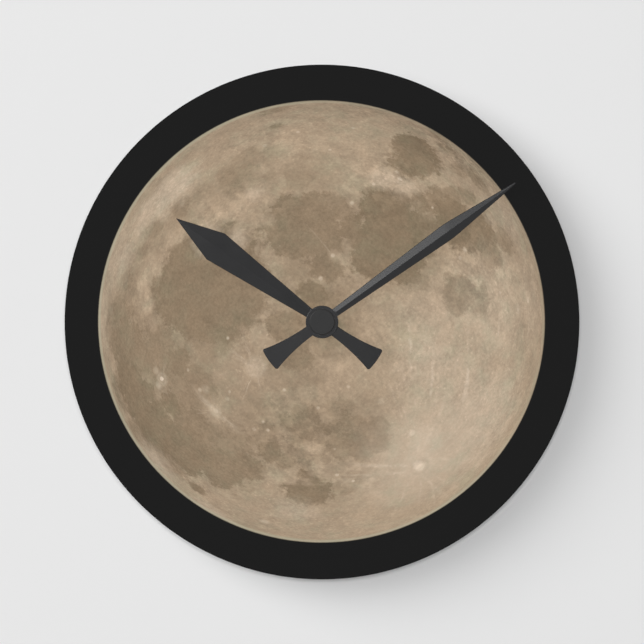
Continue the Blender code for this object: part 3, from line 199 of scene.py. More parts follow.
# Bright highlands: latitude, longitude, radius in km and brightness.
BRIGHT_LANDS = (
    (-43, -5, 520, 0.5), (-47, 12, 520, 0.48), (-33, 14, 470, 0.32), (-25, 40, 480, 0.3),
    (-15, 24, 300, 0.26), (-40, 36, 420, 0.14), (-21, 52, 170, 0.22), (-9, 20, 200, 0.2),
    (71, -10, 240, 0.5), (-21.6, 14.6, 260, 0.4), (60, -58, 190, 0.4), (14, 46, 110, 0.3),
    (-33, 62, 330, 0.22), (62, -70, 330, 0.3), (48, -84, 330, 0.3), (-12, 72, 260, 0.25),
    (68.8, -0.2, 150, 0.5), (72.2, -32, 140, 0.35), (65.9, -81.7, 120, 0.35), (44.2, 17, 78, 0.3),
    (19.2, 44.9, 102, 0.35), (-39.8, -1.9, 235, 0.5), (-13, -79, 170, 0.4), (6, -76.5, 200, 0.45),
    (45, -6.5, 110, 0.7), (-39.3, -3, 240, 0.6), (70, -36, 200, 0.4), (38.2, 0.4, 90, 0.5),
    (-27.7, -50, 170, 0.3),
)

# Craters with rays: latitude, longitude, halo and ray reach in km, halo, ray and core strength.
RAY_CRATERS = (
    (-43.3, -11.4, 230, 1700, 0.5, 0.4, 0.95), (9.6, -20.1, 130, 480, 0.7, 0.66, 0.3),
    (8.1, -38, 85, 330, 0.6, 0.5, 0.4), (23.3, -47.5, 90, 260, 0.75, 0.5, 1.5),
    (16.1, 46.8, 50, 260, 0.5, 0.5, 0.6), (-8.9, 61, 90, 320, 0.45, 0.4, 0.3),
    (-32, 52, 60, 380, 0.6, 0.5, 0.6),
)

# Long single rays: latitude and longitude of both ends, half width in km and strength.
LONG_RAYS = (
    (-41.8, -12.8, -27, -23.5, 30, 1), (-42.6, -15.6, -28, -28, 22, 1), (-40, -5, -21.4, 29.8, 36, 0.5),
    (-39.5, 15.8, -20.8, 30.8, 22, 0.5), (-47, -14, -78, -45, 26, 0.3),
    (-45.8, -18.3, -53.3, -44.8, 22, 0.4), (-46, -6, -72, 30, 24, 0.35), (9.6, -20.1, 18, -24, 16, 0.4),
    (-42.2, 52.8, -31.3, 61.8, 18, 0.4), (-15.1, 12.6, -8.3, 17.7, 20, 0.5),
    (-33.4, 36.8, -25.4, 45.4, 18, 0.4), (16.3, 16, 30, 19, 9, 0.25), (-48.4, -15.6, -58.3, -32.3, 18, 0.5),
    (-52.4, -14.6, -67.7, -39.2, 18, 0.4), (-41.2, -8.1, -31.9, -2, 26, 0.5),
    (-39.4, 14.3, -18, 34, 26, 0.7), (-30, 7, -14, 23, 24, 0.6), (-20.4, 8, -8, 19, 20, 0.55),
    (8.1, -38, 17, -39, 40, 0.5), (8.1, -38, -2, -36.5, 40, 0.45),
)

# The great rayed crater: latitude, longitude, radius of its floor, middle and half width
# of its dark collar in km.
GREAT_CRATER = (-44.8, -11.8, 50, 72, 26)

# Country of mixed bright hills and dark hollows: latitude, longitude, radius in km and contrast.
BROKEN_COUNTRY = (
    (-12, -27, 420, 1), (-30, -24, 260, 0.8), (20, 44, 300, 0.9), (-14, 44, 380, 0.9), (44, -42, 260, 0.7),
    (10, 78, 300, 0.8), (42, 5, 400, 0.6), (8, -2, 250, 0.6), (-2, 8, 330, 0.5), (52, 50, 400, 0.5),
)

# Small bright craters: latitude, longitude, size in km and strength.
BRIGHT_SPOTS = (
    (-33.6, -4, 60, 0.9), (16.3, 48.3, 36, 0.9), (20.7, 41.5, 30, 0.6), (21.9, 32, 30, 0.6),
    (20.2, -20.8, 22, 0.75), (20.8, -37.1, 24, 0.45), (0.4, -18.8, 23, 0.6), (-9.1, -16, 23, 0.6),
    (-4.6, -30.3, 23, 0.6), (14.8, -37.6, 31, 0.5), (-31.9, -28.1, 26, 0.7), (-27, -28.9, 26, 0.7),
    (-8.5, 44.7, 40, 0.6), (-8.9, 41.5, 32, 0.6), (-24, 46.8, 25, 0.7), (-32.9, 60.1, 50, 0.55),
    (34.4, 62, 25, 0.6), (47, 52.7, 25, 0.6), (8, -37.8, 46, 0.55), (22.5, -50, 60, 0.5),
    (16.3, 16, 28, 0.6), (14.5, 9.1, 30, 0.6), (2.8, 17.3, 24, 0.5), (-10.6, -6.3, 26, 0.45),
    (-5.5, 4.8, 28, 0.4), (-20.7, -22.2, 20, 0.4), (53, 41, 36, 0.4), (5.1, 46.9, 20, 0.6),
    (-2, -33, 30, 0.4), (8.5, -32.5, 36, 0.35), (18, 50, 30, 0.5), (73.4, -10.1, 90, 0.4),
    (-24.5, -63.9, 70, 0.45), (14, -36, 70, 0.3), (-20, -3, 60, 0.3), (26, -48.1, 60, 0.4),
    (36, 46.6, 24, 0.5), (-2.1, -29.5, 23, 0.5), (9.4, -30.5, 23, 0.5),
)


def srgb(red, green, blue):
    """Linear colour of a display colour from 0 to 255."""
    def channel(value):
        share = value / 255.0
        return share / 12.92 if share <= 0.04045 else ((share + 0.055) / 1.055) ** 2.4

    return (channel(red), channel(green), channel(blue), 1.0)


def lunar_axes(latitude, longitude):
    """East, north and outward directions at a place on the Moon."""
    up, turn = math.radians(latitude), math.radians(longitude)
    outward = Vector((math.cos(up) * math.cos(turn), math.cos(up) * math.sin(turn), math.sin(up)))
    east = Vector((-math.sin(turn), math.cos(turn), 0.0))
    return east, outward.cross(east), outward


def lunar_point(latitude, longitude):
    """Unit vector to a place on the Moon."""
    return lunar_axes(latitude, longitude)[2]


# ---- Settings


def colour_setting(name, description, red, green, blue):
    """Colour property, its default given from 0 to 255."""
    return FloatVectorProperty(
        name=name, description=description, subtype="COLOR", size=4, default=srgb(red, green, blue),
        min=0.0, max=1.0,
    )


def length_setting(name, description, default):
    """Length property, its default given in metres."""
    return FloatProperty(name=name, description=description, default=default, unit="LENGTH")


def power_setting(name, description, default):
    """Power property, its default given in watts."""
    return FloatProperty(name=name, description=description, default=default, min=0.0, unit="POWER")


class DialSettings(bpy.types.PropertyGroup):
    """Sizes and colours of the dial."""

    moon_width: length_setting("Moon width", "Width of the printed moon", 176.2 * MM)
    moon_height: length_setting("Moon height", "Height of the printed moon", 174.4 * MM)
    highland_colour: colour_setting("Highlands", "Colour of the bright highlands", 170, 151, 127)
    sea_colour: colour_setting("Seas", "Colour of the dark seas", 125, 108, 85)
    ray_colour: colour_setting("Rays", "Colour of the bright rays and young craters", 222, 206, 184)
    rim_colour: colour_setting("Limb line", "Colour of the fine line along the moon's limb", 178, 177, 154)
    border_colour: colour_setting("Border", "Colour of the print round the moon", 30, 30, 30)
    edge_bevel: length_setting("Edge bevel", "Width of the disc's broken edge", 0.25 * MM)
    print_bevel: length_setting("Print bevel", "Width of the print's broken edge", 0.04 * MM)
    sides: IntProperty(name="Sides", description="Faces round the disc's edge", default=256, min=64)


class HandSettings(bpy.types.PropertyGroup):
    """Edges and colours of the hands and the cap nut."""

    edge_bevel: length_setting("Edge bevel", "Width of the hands' broken edges", 0.18 * MM)
    hour_colour: colour_setting("Hour hand", "Colour of the hour hand's paint", 40, 40, 41)
    # The minute hand's paint is the hour hand's paint made lighter: painted light that lifts its shaded
    # lower facet.
    minute_colour_with_painted_light: colour_setting("Minute hand", "Colour of the minute hand's paint", 44, 44, 45)
    cap_colour: colour_setting("Cap nut", "Colour of the cap nut's paint", 37, 37, 37)


class MovementSettings(bpy.types.PropertyGroup):
    """Edges and colours of the movement and its fittings."""

    edge_bevel: length_setting("Edge bevel", "Width of the mouldings' broken edges", 0.25 * MM)
    case_colour: colour_setting("Case", "Colour of the movement's case", 38, 38, 40)
    sleeve_colour: colour_setting("Battery sleeve", "Colour of the battery's sleeve", 58, 84, 104)


class StageSettings(bpy.types.PropertyGroup):
    """Wall, light and camera."""

    wall_colour: colour_setting("Wall", "Colour of the wall", 231, 231, 231)
    key_power: power_setting("Key light", "Power of the main lamp", 120.0)
    fill_power: power_setting("Fill light", "Power of the lamp near the camera", 88.0)
    rear_power: power_setting("Rear light", "Power of the lamp behind the clock", 30.0)
    camera_distance: length_setting("Camera distance", "From the camera to the wall", 2.0)
    view_width: length_setting("View width", "Width of the view at the dial", 254.2 * MM)


# ---- Modelling


def clear_selection():
    """Nothing selected, in object mode."""
    if bpy.context.object and bpy.context.object.mode != "OBJECT":
        bpy.ops.object.mode_set(mode="OBJECT")
    bpy.ops.object.select_all(action="DESELECT")


def select_only(piece):
    """Make a piece the only selected and the active object."""
    clear_selection()
    piece.select_set(True)
    bpy.context.view_layer.objects.active = piece


def name_piece(name):
    """Name the new active object and its mesh, lamp or camera."""
    piece = bpy.context.object
    piece.name = name
    piece.data.name = name
    return piece


def use_modifier(piece, kind, **settings):
    """Add a modifier with these settings and apply it."""
    select_only(piece)
    modifier = piece.modifiers.new(kind.lower(), kind)
    for key, value in settings.items():
        setattr(modifier, key, value)
    bpy.ops.object.modifier_apply(modifier=modifier.name)


def smooth(piece, degrees=30.0):
    """Shade smooth up to the given angle, with the big faces kept flat."""
    select_only(piece)
    bpy.ops.object.shade_smooth_by_angle(angle=math.radians(degrees))
    use_modifier(piece, "WEIGHTED_NORMAL", keep_sharp=True)


def turn_piece(name, profile, sides, ring_shaped=False):
    """Piece turned on a lathe: a circle extruded through its profile of radii and heights towards -Y."""
    clear_selection()
    radius, height = profile[0]
    bpy.ops.mesh.primitive_circle_add(vertices=sides, radius=radius, location=ORIGIN)
    piece = name_piece(name)
    bpy.ops.object.mode_set(mode="EDIT")
    bpy.ops.mesh.select_mode(type="EDGE")
    bpy.ops.mesh.select_all(action="SELECT")
    bpy.ops.transform.translate(value=(0.0, 0.0, height))
    for next_radius, next_height in (*profile[1:], *profile[:ring_shaped]):
        bpy.ops.mesh.extrude_region_move(TRANSFORM_OT_translate={"value": (0.0, 0.0, next_height - height)})
        share = next_radius / radius
        bpy.ops.transform.resize(value=(share, share, 1.0), center_override=(0.0, 0.0, next_height))
        radius, height = next_radius, next_height
    bpy.ops.mesh.select_all(action="SELECT")
    bpy.ops.mesh.remove_doubles(threshold=0.00001)
    if not ring_shaped:
        bpy.ops.mesh.fill_holes(sides=0)
    bpy.ops.mesh.select_all(action="SELECT")
    bpy.ops.mesh.normals_make_consistent(inside=False)
    bpy.ops.object.mode_set(mode="OBJECT")
    piece.rotation_euler = (QUARTER, 0.0, 0.0)
    bpy.ops.object.transform_apply(location=True, rotation=True, scale=True)
    smooth(piece)
    return piece


def turn_disc(name, node, bevel, sides):
    """Round sheet with a hole and broken edges, as wide and as thick as its CAD node."""
    low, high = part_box(node)
    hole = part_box("threaded_bushing")[1].x + HOLE_PLAY
    radius, near, far = high.x, -high.y, -low.y
    corner = 0.3 * bevel
    profile = (
        (hole, near), (radius - bevel, near), (radius - corner, near + corner), (radius, near + bevel),
        (radius, far - bevel), (radius - corner, far - corner), (radius - bevel, far), (hole, far),
    )
    return turn_piece(name, profile, sides, ring_shaped=True)


def finished_copy(name, node, bevel, degrees=35.0, crease=30.0):
    """Copy of a CAD node with its triangles merged into faces and its sharp edges broken."""
    piece = bpy.data.objects.new(name, frame["nodes"][node].data.copy())
    piece.data.name = name
    bpy.context.scene.collection.objects.link(piece)
    select_only(piece)
    bpy.ops.object.mode_set(mode="EDIT")
    bpy.ops.mesh.select_all(action="SELECT")
    bpy.ops.mesh.remove_doubles(threshold=0.000005)
    bpy.ops.mesh.dissolve_limited(angle_limit=math.radians(0.5))
    bpy.ops.object.mode_set(mode="OBJECT")
    use_modifier(
        piece, "BEVEL", width=bevel, segments=2, limit_method="ANGLE", angle_limit=math.radians(degrees),
        use_clamp_overlap=True, miter_outer="MITER_ARC",
    )
    smooth(piece, crease)
    return piece


def place(piece, node, material):
    """Give a piece its material and let it stand for its CAD node on the node's body."""
    piece.data.materials.clear()
    piece.data.materials.append(material)
    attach(piece, BODY_OF[node])
    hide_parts(node)


def paint_node(node, material):
    """Give a carried-over CAD node its material."""
    for slot in frame["nodes"][node].material_slots:
        slot.material = material


# ---- Shader helpers


class Result:
    """A node's output to reckon with. An index gives another output of the same node."""

    def __init__(self, socket):
        self.socket = socket

    def __getitem__(self, output):
        return Result(self.socket.node.outputs[output])

    def __add__(self, other):
        return maths("ADD", self, other)

    def __sub__(self, other):
        return maths("SUBTRACT", self, other)

    def __rsub__(self, other):
        return maths("SUBTRACT", other, self)

    def __mul__(self, other):
        return maths("MULTIPLY", self, other)

    def __truediv__(self, other):
        return maths("DIVIDE", self, other)


def source(tree, kind):
    """First result of a new node that needs no inputs."""
    return Result(tree.nodes.new(kind).outputs[0])


def feed(node, inputs):
    """Set a node's inputs to numbers and colours, or link them to results."""
    for key, value in inputs.items():
        if isinstance(value, Result):
            node.id_data.links.new(value.socket, node.inputs[key])
        else:
            node.inputs[key].default_value = value


def add_node(kind, inputs, **settings):
    """First result of a new node in the tree of the results that feed it."""
    tree = next(value.socket.id_data for value in inputs.values() if isinstance(value, Result))
    made = tree.nodes.new(kind)
    for key, value in settings.items():
        setattr(made, key, value)
    feed(made, inputs)
    return Result(made.outputs[0])


def maths(operation, *values, clamp=False):
    """Result of a Math node."""
    return add_node("ShaderNodeMath", dict(enumerate(values)), operation=operation, use_clamp=clamp)


def vectors(operation, *values):
    """Result of a Vector Math node: its value for a product or a distance, or else its vector."""
    made = add_node("ShaderNodeVectorMath", dict(enumerate(values)), operation=operation)
    return made["Value" if operation in ("DOT_PRODUCT", "DISTANCE", "LENGTH") else "Vector"]


def scaled(vector, factor):
    """Vector or colour times a number."""
    return add_node("ShaderNodeVectorMath", {0: vector, "Scale": factor}, operation="SCALE")


def separate(vector):
    """The X, Y and Z of a vector."""
    return add_node("ShaderNodeSeparateXYZ", {"Vector": vector})


def ramp(value, start, end, low=0.0, high=1.0):
    """Smooth step from low to high as value goes from start to end."""
    return add_node(
        "ShaderNodeMapRange",
        {"Value": value, "From Min": start, "From Max": end, "To Min": low, "To Max": high},
        interpolation_type="SMOOTHSTEP",
    )


def mix(share, first, second, blend="MIX"):
    """Mixed colour."""
    inputs = {0: share, 6: first, 7: second}
    return add_node("ShaderNodeMix", inputs, data_type="RGBA", blend_type=blend)[2]


def noise(point, scale, detail=4.0, roughness=0.55):
    """Value of a noise texture. Its other result is Color."""
    inputs = {"Vector": point, "Scale": scale, "Detail": detail, "Roughness": roughness}
    return add_node("ShaderNodeTexNoise", inputs)


def bumps(height, strength, depth):
    """Normal of a surface with bumps of a depth in millimetres."""
    return add_node("ShaderNodeBump", {"Height": height, "Strength": strength, "Distance": depth * MM})


def new_group(name, inputs, outputs):
    """Empty shader node group. Returns it, what it is given and the node that takes what it gives."""
    group = bpy.data.node_groups.new(name, "ShaderNodeTree")
    for in_out, sockets in (("INPUT", inputs), ("OUTPUT", outputs)):
        for socket, default in sockets.items():
            kind = "Float" if isinstance(default, float) else {3: "Vector", 4: "Color"}[len(default)]
            made = group.interface.new_socket(name=socket, in_out=in_out, socket_type="NodeSocket" + kind)
            made.default_value = default
    return group, source(group, "NodeGroupInput"), group.nodes.new("NodeGroupOutput")


def shared_group(name, build):
    """Group that is built the first time it is wanted."""
    return bpy.data.node_groups.get(name) or build()


def place_group(group, inputs):
    """First result of a group that is placed among its inputs."""
    return add_node("ShaderNodeGroup", inputs, node_tree=group)


def new_material(name, roughness=0.5, metallic=0.0):
    """Material with a Principled shader. Returns the material, the shader and object coordinates."""
    material = bpy.data.materials.new(name)
    material.use_nodes = True
    shader = material.node_tree.nodes["Principled BSDF"]
    feed(shader, {"Roughness": roughness, "Metallic": metallic})
    return material, shader, source(material.node_tree, "ShaderNodeTexCoord")["Object"]


def sea_group():
    """Round patch of tone with a soft or torn edge, laid over the tone below."""
    group, given, gives = new_group("moon_sea", {
        "Place": ORIGIN, "Centre": OUTWARD, "Radius": 0.1, "Edge": 0.02, "Depth": 1.0, "Raggedness": 0.0,
        "Below": 0.0,
    }, {"Tone": 0.0})
    away = vectors("DISTANCE", given["Place"], given["Centre"])
    away = away + given["Raggedness"] * maths("MINIMUM", given["Radius"], 0.15)
    patch = ramp(away, given["Radius"] + given["Edge"], given["Radius"] - given["Edge"])
    feed(gives, {"Tone": maths("SMOOTH_MAX", patch * given["Depth"], given["Below"], 0.08)})
    return group


def ray_group():
    """Young crater: bright core, halo and uneven rays, laid over the brightness below."""
    group, given, gives = new_group("moon_rays", {
        "Place": ORIGIN, "Centre": OUTWARD, "East": EAST, "North": NORTH, "Halo Size": 0.1,
        "Ray Reach": 0.3, "Halo": 0.5, "Rays": 0.5, "Core": 0.5, "Patches": 1.0, "Seed": 0.0, "Below": 0.0,
    }, {"Brightness": 0.0})
    away = vectors("DISTANCE", given["Place"], given["Centre"])
    across = vectors("DOT_PRODUCT", given["Place"], given["East"])
    along = vectors("DOT_PRODUCT", given["Place"], given["North"])
    heading = vectors("NORMALIZE", add_node("ShaderNodeCombineXYZ", {"X": across, "Y": along}))
    seed = add_node("ShaderNodeCombineXYZ", {"Z": given["Seed"]})
    streak = ramp(noise(vectors("ADD", heading, seed), 5.5, 3.0, 0.7), 0.5, 0.72)
    fading = ramp(away / given["Ray Reach"], 1.0, 0.05)
    rays = streak * fading * given["Rays"] * given["Patches"]
    share = away / given["Halo Size"]
    halo = ramp(share, 1.0, 0.0) * given["Halo"] * ramp(share, 0.35, 0.5, 0.6, 1.0)
    core = ramp(share, 0.28, 0.12) * given["Core"]
    total = maths("MAXIMUM", maths("MAXIMUM", rays, halo), core)
    feed(gives, {"Brightness": maths("SMOOTH_MAX", total, given["Below"], 0.12)})
    return group


def long_ray_group():
    """One straight ray along a great circle, laid over the brightness below."""
    group, given, gives = new_group("moon_long_ray", {
        "Place": ORIGIN, "Heading": EAST, "Side": NORTH, "End": 0.3, "Half Width": 0.01, "Strength": 0.5,
        "Patches": 1.0, "Below": 0.0,
    }, {"Brightness": 0.0})
    along = vectors("DOT_PRODUCT", given["Place"], given["Heading"])
    across = maths("ABSOLUTE", vectors("DOT_PRODUCT", given["Place"], given["Side"]))
    begins = ramp(along, 0.0, 0.04)
    ends = ramp(along, given["End"], 0.0)
    band = ramp(across, given["Half Width"], 0.0)
    ray = begins * ends * band * given["Strength"] * given["Patches"]
    feed(gives, {"Brightness": ray * (1.0 - given["Below"]) + given["Below"]})
    return group


def spot_group():
    """Small bright crater, laid over the brightness below."""
    group, given, gives = new_group("moon_spot", {
        "Place": ORIGIN, "Centre": OUTWARD, "Size": 0.1, "Strength": 0.5, "Below": 0.0,
    }, {"Brightness": 0.0})
    away = vectors("DISTANCE", given["Place"], given["Centre"])
    spot = ramp(away, given["Size"], given["Size"] * 0.2) * given["Strength"]
    feed(gives, {"Brightness": maths("MAXIMUM", spot, given["Below"])})
    return group


def craterlet_group():
    """Scattered small craters: pale dots and rings of one size."""
    group, given, gives = new_group("moon_craterlets", {
        "Place": ORIGIN, "Scale": 20.0, "Size": 0.2, "Share": 0.5,
    }, {"Dots": 0.0, "Rings": 0.0})
    cells = add_node("ShaderNodeTexVoronoi", {"Vector": given["Place"], "Scale": given["Scale"]})
    chance = add_node("ShaderNodeSeparateColor", {"Color": cells["Color"]})
    chosen = maths("LESS_THAN", chance[0], given["Share"])
    share = cells["Distance"] / (given["Size"] * (chance[1] + 0.45))
    dots = ramp(share, 1.0, 0.2)
    rings = ramp(maths("ABSOLUTE", share - 0.85), 0.38, 0.0)
    feed(gives, {"Dots": dots * chosen, "Rings": rings * chosen})
    return group


def grain_group():
    """Fine unevenness of a surface: its shade, its roughness and its height."""
    group, given, gives = new_group("fine_grain", {
        "Place": ORIGIN, "Colour": GREY, "Scale": 400.0, "Shade": 0.1, "Roughness": 0.5, "Unevenness": 0.08,
    }, {"Colour": GREY, "Roughness": 0.0, "Height": 0.0})
    fine = noise(given["Place"], given["Scale"], 3.0, 0.6)
    broad = noise(given["Place"], given["Scale"] * 0.08, 3.0)
    shaded = scaled(given["Colour"], (fine + broad - 1.0) * given["Shade"] + 1.0)
    rough = (broad - 0.5) * given["Unevenness"] + given["Roughness"]
    feed(gives, {"Colour": shaded, "Roughness": rough, "Height": fine})
    return group


# ---- The printed moon


def face_on_sphere(settings, coordinates):
    """X, Y and Z of a point of the print, how far out it lies, and the place on the Moon that it shows."""
    east, north, outward = lunar_axes(LUNAR_LATITUDE, LUNAR_LONGITUDE)
    turn = math.radians(LUNAR_TURN)
    across = east * math.cos(turn) - north * math.sin(turn)
    upward = east * math.sin(turn) + north * math.cos(turn)
    on_face = add_node("ShaderNodeMapping", {
        "Vector": coordinates, "Location": MOON_OFFSET,
        "Scale": (2.0 / settings.moon_width, 0.0, 2.0 / settings.moon_height),
    })
    reach = vectors("LENGTH", on_face)
    height = maths("SQRT", maths("SUBTRACT", 1.0, reach * reach, clamp=True))
    parts = separate(on_face)
    on_sphere = add_node("ShaderNodeCombineXYZ", {"X": parts["X"], "Y": parts["Z"], "Z": height})
    turned = Matrix((across, upward, outward)).transposed().to_euler()
    return parts, reach, add_node("ShaderNodeMapping", {"Vector": on_sphere, "Rotation": turned})


def lay_patches(below, patches, point, torn, edge, least_edge=0.0):
    """Tone with round patches laid over what is below, one after the other."""
    sea = shared_group("moon_sea", sea_group)
    for latitude, longitude, radius, depth in patches:
        size = radius / LUNAR_RADIUS
        below = place_group(sea, {
            "Place": point, "Centre": lunar_point(latitude, longitude), "Radius": size,
            "Edge": least_edge + edge * size, "Depth": depth, "Raggedness": torn, "Below": below,
        })
    return below


def lay_ray_craters(point, patches):
    """Brightness of the craters with rays."""
    bright = 0.0
    rays = ray_group()
    for number, crater in enumerate(RAY_CRATERS):
        latitude, longitude, halo_size, ray_reach, halo, ray, core = crater
        east, north, outward = lunar_axes(latitude, longitude)
        bright = place_group(rays, {
            "Place": point, "Centre": outward, "East": east, "North": north,
            "Halo Size": halo_size / LUNAR_RADIUS, "Ray Reach": ray_reach / LUNAR_RADIUS, "Halo": halo,
            "Rays": ray, "Core": core, "Patches": patches, "Seed": 3.7 * number, "Below": bright,
        })
    return bright


def lay_long_rays(bright, point, patches):
    """Brightness with the long single rays laid over it."""
    long_ray = long_ray_group()
    for from_latitude, from_longitude, to_latitude, to_longitude, half_width, strength in LONG_RAYS:
        first = lunar_point(from_latitude, from_longitude)
        last = lunar_point(to_latitude, to_longitude)
        side = first.cross(last).normalized()
        heading = side.cross(first)
        bright = place_group(long_ray, {
            "Place": point, "Heading": heading, "Side": side, "End": last.dot(heading) * 1.2,
            "Half Width": half_width / LUNAR_RADIUS, "Strength": strength, "Patches": patches,
            "Below": bright,
        })
    return bright


def lay_spots(bright, point):
    """Brightness with the small bright craters laid over it."""
    spot = spot_group()
    for latitude, longitude, size, strength in BRIGHT_SPOTS:
        bright = place_group(spot, {
            "Place": point, "Centre": lunar_point(latitude, longitude), "Size": size / LUNAR_RADIUS,
            "Strength": strength, "Below": bright,
        })
    return bright


def moon_print_finish(settings):
    """Matt print of the full moon on black, drawn on the sphere that the face shows.

    The points that place what is bright depend on the finished tone of the seas, so that the renderer
    works the seas out first and doesn't have to hold every patch at once.
    """
    material, shader, coordinates = new_material("moon_picture", PRINT_ROUGHNESS)
    feed(shader, {"Specular IOR Level": PRINT_GLOSS})
    parts, reach, point = face_on_sphere(settings, coordinates)
    coarse = vectors("SUBTRACT", noise(point, *BROAD_SHIFT)["Color"], MIDDLE)
    fine = vectors("SUBTRACT", noise(point, *FINE_SHIFT)["Color"], MIDDLE)
    ragged = vectors("ADD", point, scaled(coarse, 0.05))
    ragged = vectors("ADD", ragged, scaled(fine, 0.03))
    torn = (noise(point, *TORN_EDGES) - 0.5) * 2.1

    tone = lay_patches(0.0, VEILS, ragged, torn, VEIL_EDGE, LEAST_EDGE)
    tone = lay_patches(tone, SEAS, ragged, torn, SEA_EDGE, LEAST_EDGE)
    opened = lay_patches(0.0, SEA_GAPS, ragged, torn, GAP_EDGE, LEAST_EDGE)
    tone = tone * maths("SUBTRACT", 1.0, opened, clamp=True)

    patches = ramp(noise(point, *RAY_PATCHES), 0.34, 0.62)
    wavering = tone * -0.006 + 0.02
    slightly = vectors("ADD", point, scaled(fine, wavering))
    broken = vectors("ADD", slightly, scaled(coarse, 0.07))
    bright = lay_ray_craters(slightly, patches)
    lands = lay_patches(0.0, BRIGHT_LANDS, broken, torn, LAND_EDGE)
    bright = bright + lands * (1.0 - bright)
    bright = lay_long_rays(bright, slightly, patches)
    nearly = vectors("ADD", point, scaled(fine, wavering * 0.45))
    bright = lay_spots(bright, nearly)

    latitude, longitude, floor, collar, collar_width = GREAT_CRATER
    from_crater = vectors("DISTANCE", nearly, lunar_point(latitude, longitude))
    floor_share = ramp(from_crater, floor / LUNAR_RADIUS, 0.6 * floor / LUNAR_RADIUS)
    bright = bright + floor_share * 0.25
    from_collar = maths("ABSOLUTE", from_crater - collar / LUNAR_RADIUS)
    collar_light = ramp(from_collar, collar_width / LUNAR_RADIUS, 0.0, 0.0, COLLAR_LIGHT)
    floor_light = floor_share * FLOOR_LIGHT
    calm = ramp(from_crater, 0.08, 0.5, 0.4, 1.0)

    craterlet = craterlet_group()
    marks = [
        place_group(craterlet, {"Place": slightly, "Scale": scale, "Size": size, "Share": share})[kind]
        for kind, scale, size, share in CRATERLETS
    ]
    rings = maths("MAXIMUM", *marks[:2])
    dots = maths("MAXIMUM", *marks[2:])

    busy = lay_patches(0.0, BROKEN_COUNTRY, slightly, torn, COUNTRY_EDGE)
    hills = ramp(noise(slightly, *HILLS), 0.44, 0.6, -0.45, 0.55) * (busy * 0.2 + 0.06)
    mottle = noise(ragged, *MOTTLE)
    speckle = noise(point, *SPECKLE)
    land = maths("SUBTRACT", 1.0, tone, clamp=True)
    uneven = (mottle - 0.5) * MOTTLE_LIGHT * (land * 0.4 + 1.0)
    grainy = (speckle - 0.5) * SPECKLE_LIGHT
    ring_light = rings * land * RING_LIGHT
    dot_light = dots * (land + 0.35) * DOT_LIGHT
    limb_depth = LIMB_LIGHT
    corner = parts["X"] * parts["Z"]
    for direction, share in ((parts["Z"], -0.1), (parts["X"], 0.02), (corner, -0.2)):
        limb_depth = direction * share + limb_depth
    limb = ramp(reach, 0.8, 1.02) * limb_depth
    light = (uneven + hills + grainy + ring_light + dot_light) * calm
    light = light + collar_light + floor_light + limb + 1.0

    colour = mix(tone, settings.highland_colour, settings.sea_colour)
    colour = mix(maths("MULTIPLY", bright, RAY_COVER, clamp=True), colour, settings.ray_colour)
    colour = scaled(colour, light)
    hue = noise(ragged, *TINTS)
    colour = mix(ramp(hue, 0.35, 0.65), colour, PINKISH, "MULTIPLY")
    colour = mix(ramp(hue, 0.5, 0.3), colour, GREENISH, "MULTIPLY")
    leftward = ramp(parts["X"], 0.5, -0.5, 0.1, 0.45)
    downward = ramp(parts["Z"], -0.3, -0.8, 0.0, 0.45)
    rim = ramp(reach, 0.985, 0.994) * maths("MAXIMUM", leftward, downward)
    colour = mix(rim, colour, settings.rim_colour)
    colour = mix(ramp(reach, 1.003, 0.997), settings.border_colour, colour)
    feed(shader, {"Base Color": colour, "Roughness": grainy * 0.3 + PRINT_ROUGHNESS})
    return material


# ---- Other finishes


def lay_grain(shader, spot, colour, roughness, scale, shade, unevenness):
    """Fine grain in a shader's colour and roughness. Returns the grain's height."""
    grain = place_group(shared_group("fine_grain", grain_group), {
        "Place": spot, "Colour": colour, "Scale": scale, "Shade": shade, "Roughness": roughness,
        "Unevenness": unevenness,
    })
    feed(shader, {"Base Color": grain["Colour"], "Roughness": grain["Roughness"]})
    return grain["Height"]


def grained_finish(name, colour, roughness, metallic=0.0, scale=900.0, shade=0.12, bump=0.15, depth=0.02):
    """Surface with a fine even grain, as of moulded plastic, paint, rubber or resin."""
    material, shader, coordinates = new_material(name, roughness, metallic)
    height = lay_grain(shader, coordinates, colour, roughness, scale, shade, 0.08)
    feed(shader, {"Normal": bumps(height, bump, depth)})
    return material


def brushed_finish(name, colour, roughness, stretch, scale=500.0):
    """Metal with the fine lines of rolling or brushing, longest along one direction."""
    material, shader, coordinates = new_material(name, roughness, 1.0)
    stretched = add_node("ShaderNodeMapping", {"Vector": coordinates, "Scale": stretch})
    height = lay_grain(shader, stretched, colour, roughness, scale, 0.16, 0.16)
    feed(shader, {"Normal": bumps(height, 0.12, 0.01)})
    return material


def turned_metal_finish(name, colour, roughness, ring_scale):
    """Metal with the fine rings that a lathe leaves round the hands' axis."""
    material, shader, coordinates = new_material(name, roughness, 1.0)
    wave = {"Vector": coordinates, "Scale": ring_scale, "Distortion": 0.6, "Detail": 1.0}
    rings = add_node("ShaderNodeTexWave", wave, wave_type="RINGS", rings_direction="Y")
    lay_grain(shader, coordinates, colour, roughness, 700.0, 0.14, 0.15)
    feed(shader, {"Normal": bumps(rings["Fac"], 0.1, 0.02)})
    return material


def winding_finish():
    """Enamelled copper wire, wound in fine even turns along the coil, each turn painted lighter on its
    crest and darker in its groove: painted highlight and painted shade.
    """
    material, shader, coordinates = new_material("copper_winding", 0.35, 1.0)
    wave = {"Vector": coordinates, "Scale": 900.0, "Distortion": 0.4}
    turns = add_node("ShaderNodeTexWave", wave, bands_direction="Z")["Fac"]
    # Painted highlight on each turn's crest and painted shade in the grooves between turns, following the
    # bump height.
    shaded_copper = mix(turns, srgb(140, 66, 34), srgb(222, 138, 90))
    feed(shader, {"Base Color": shaded_copper, "Normal": bumps(turns, 0.5, 0.05)})
    return material


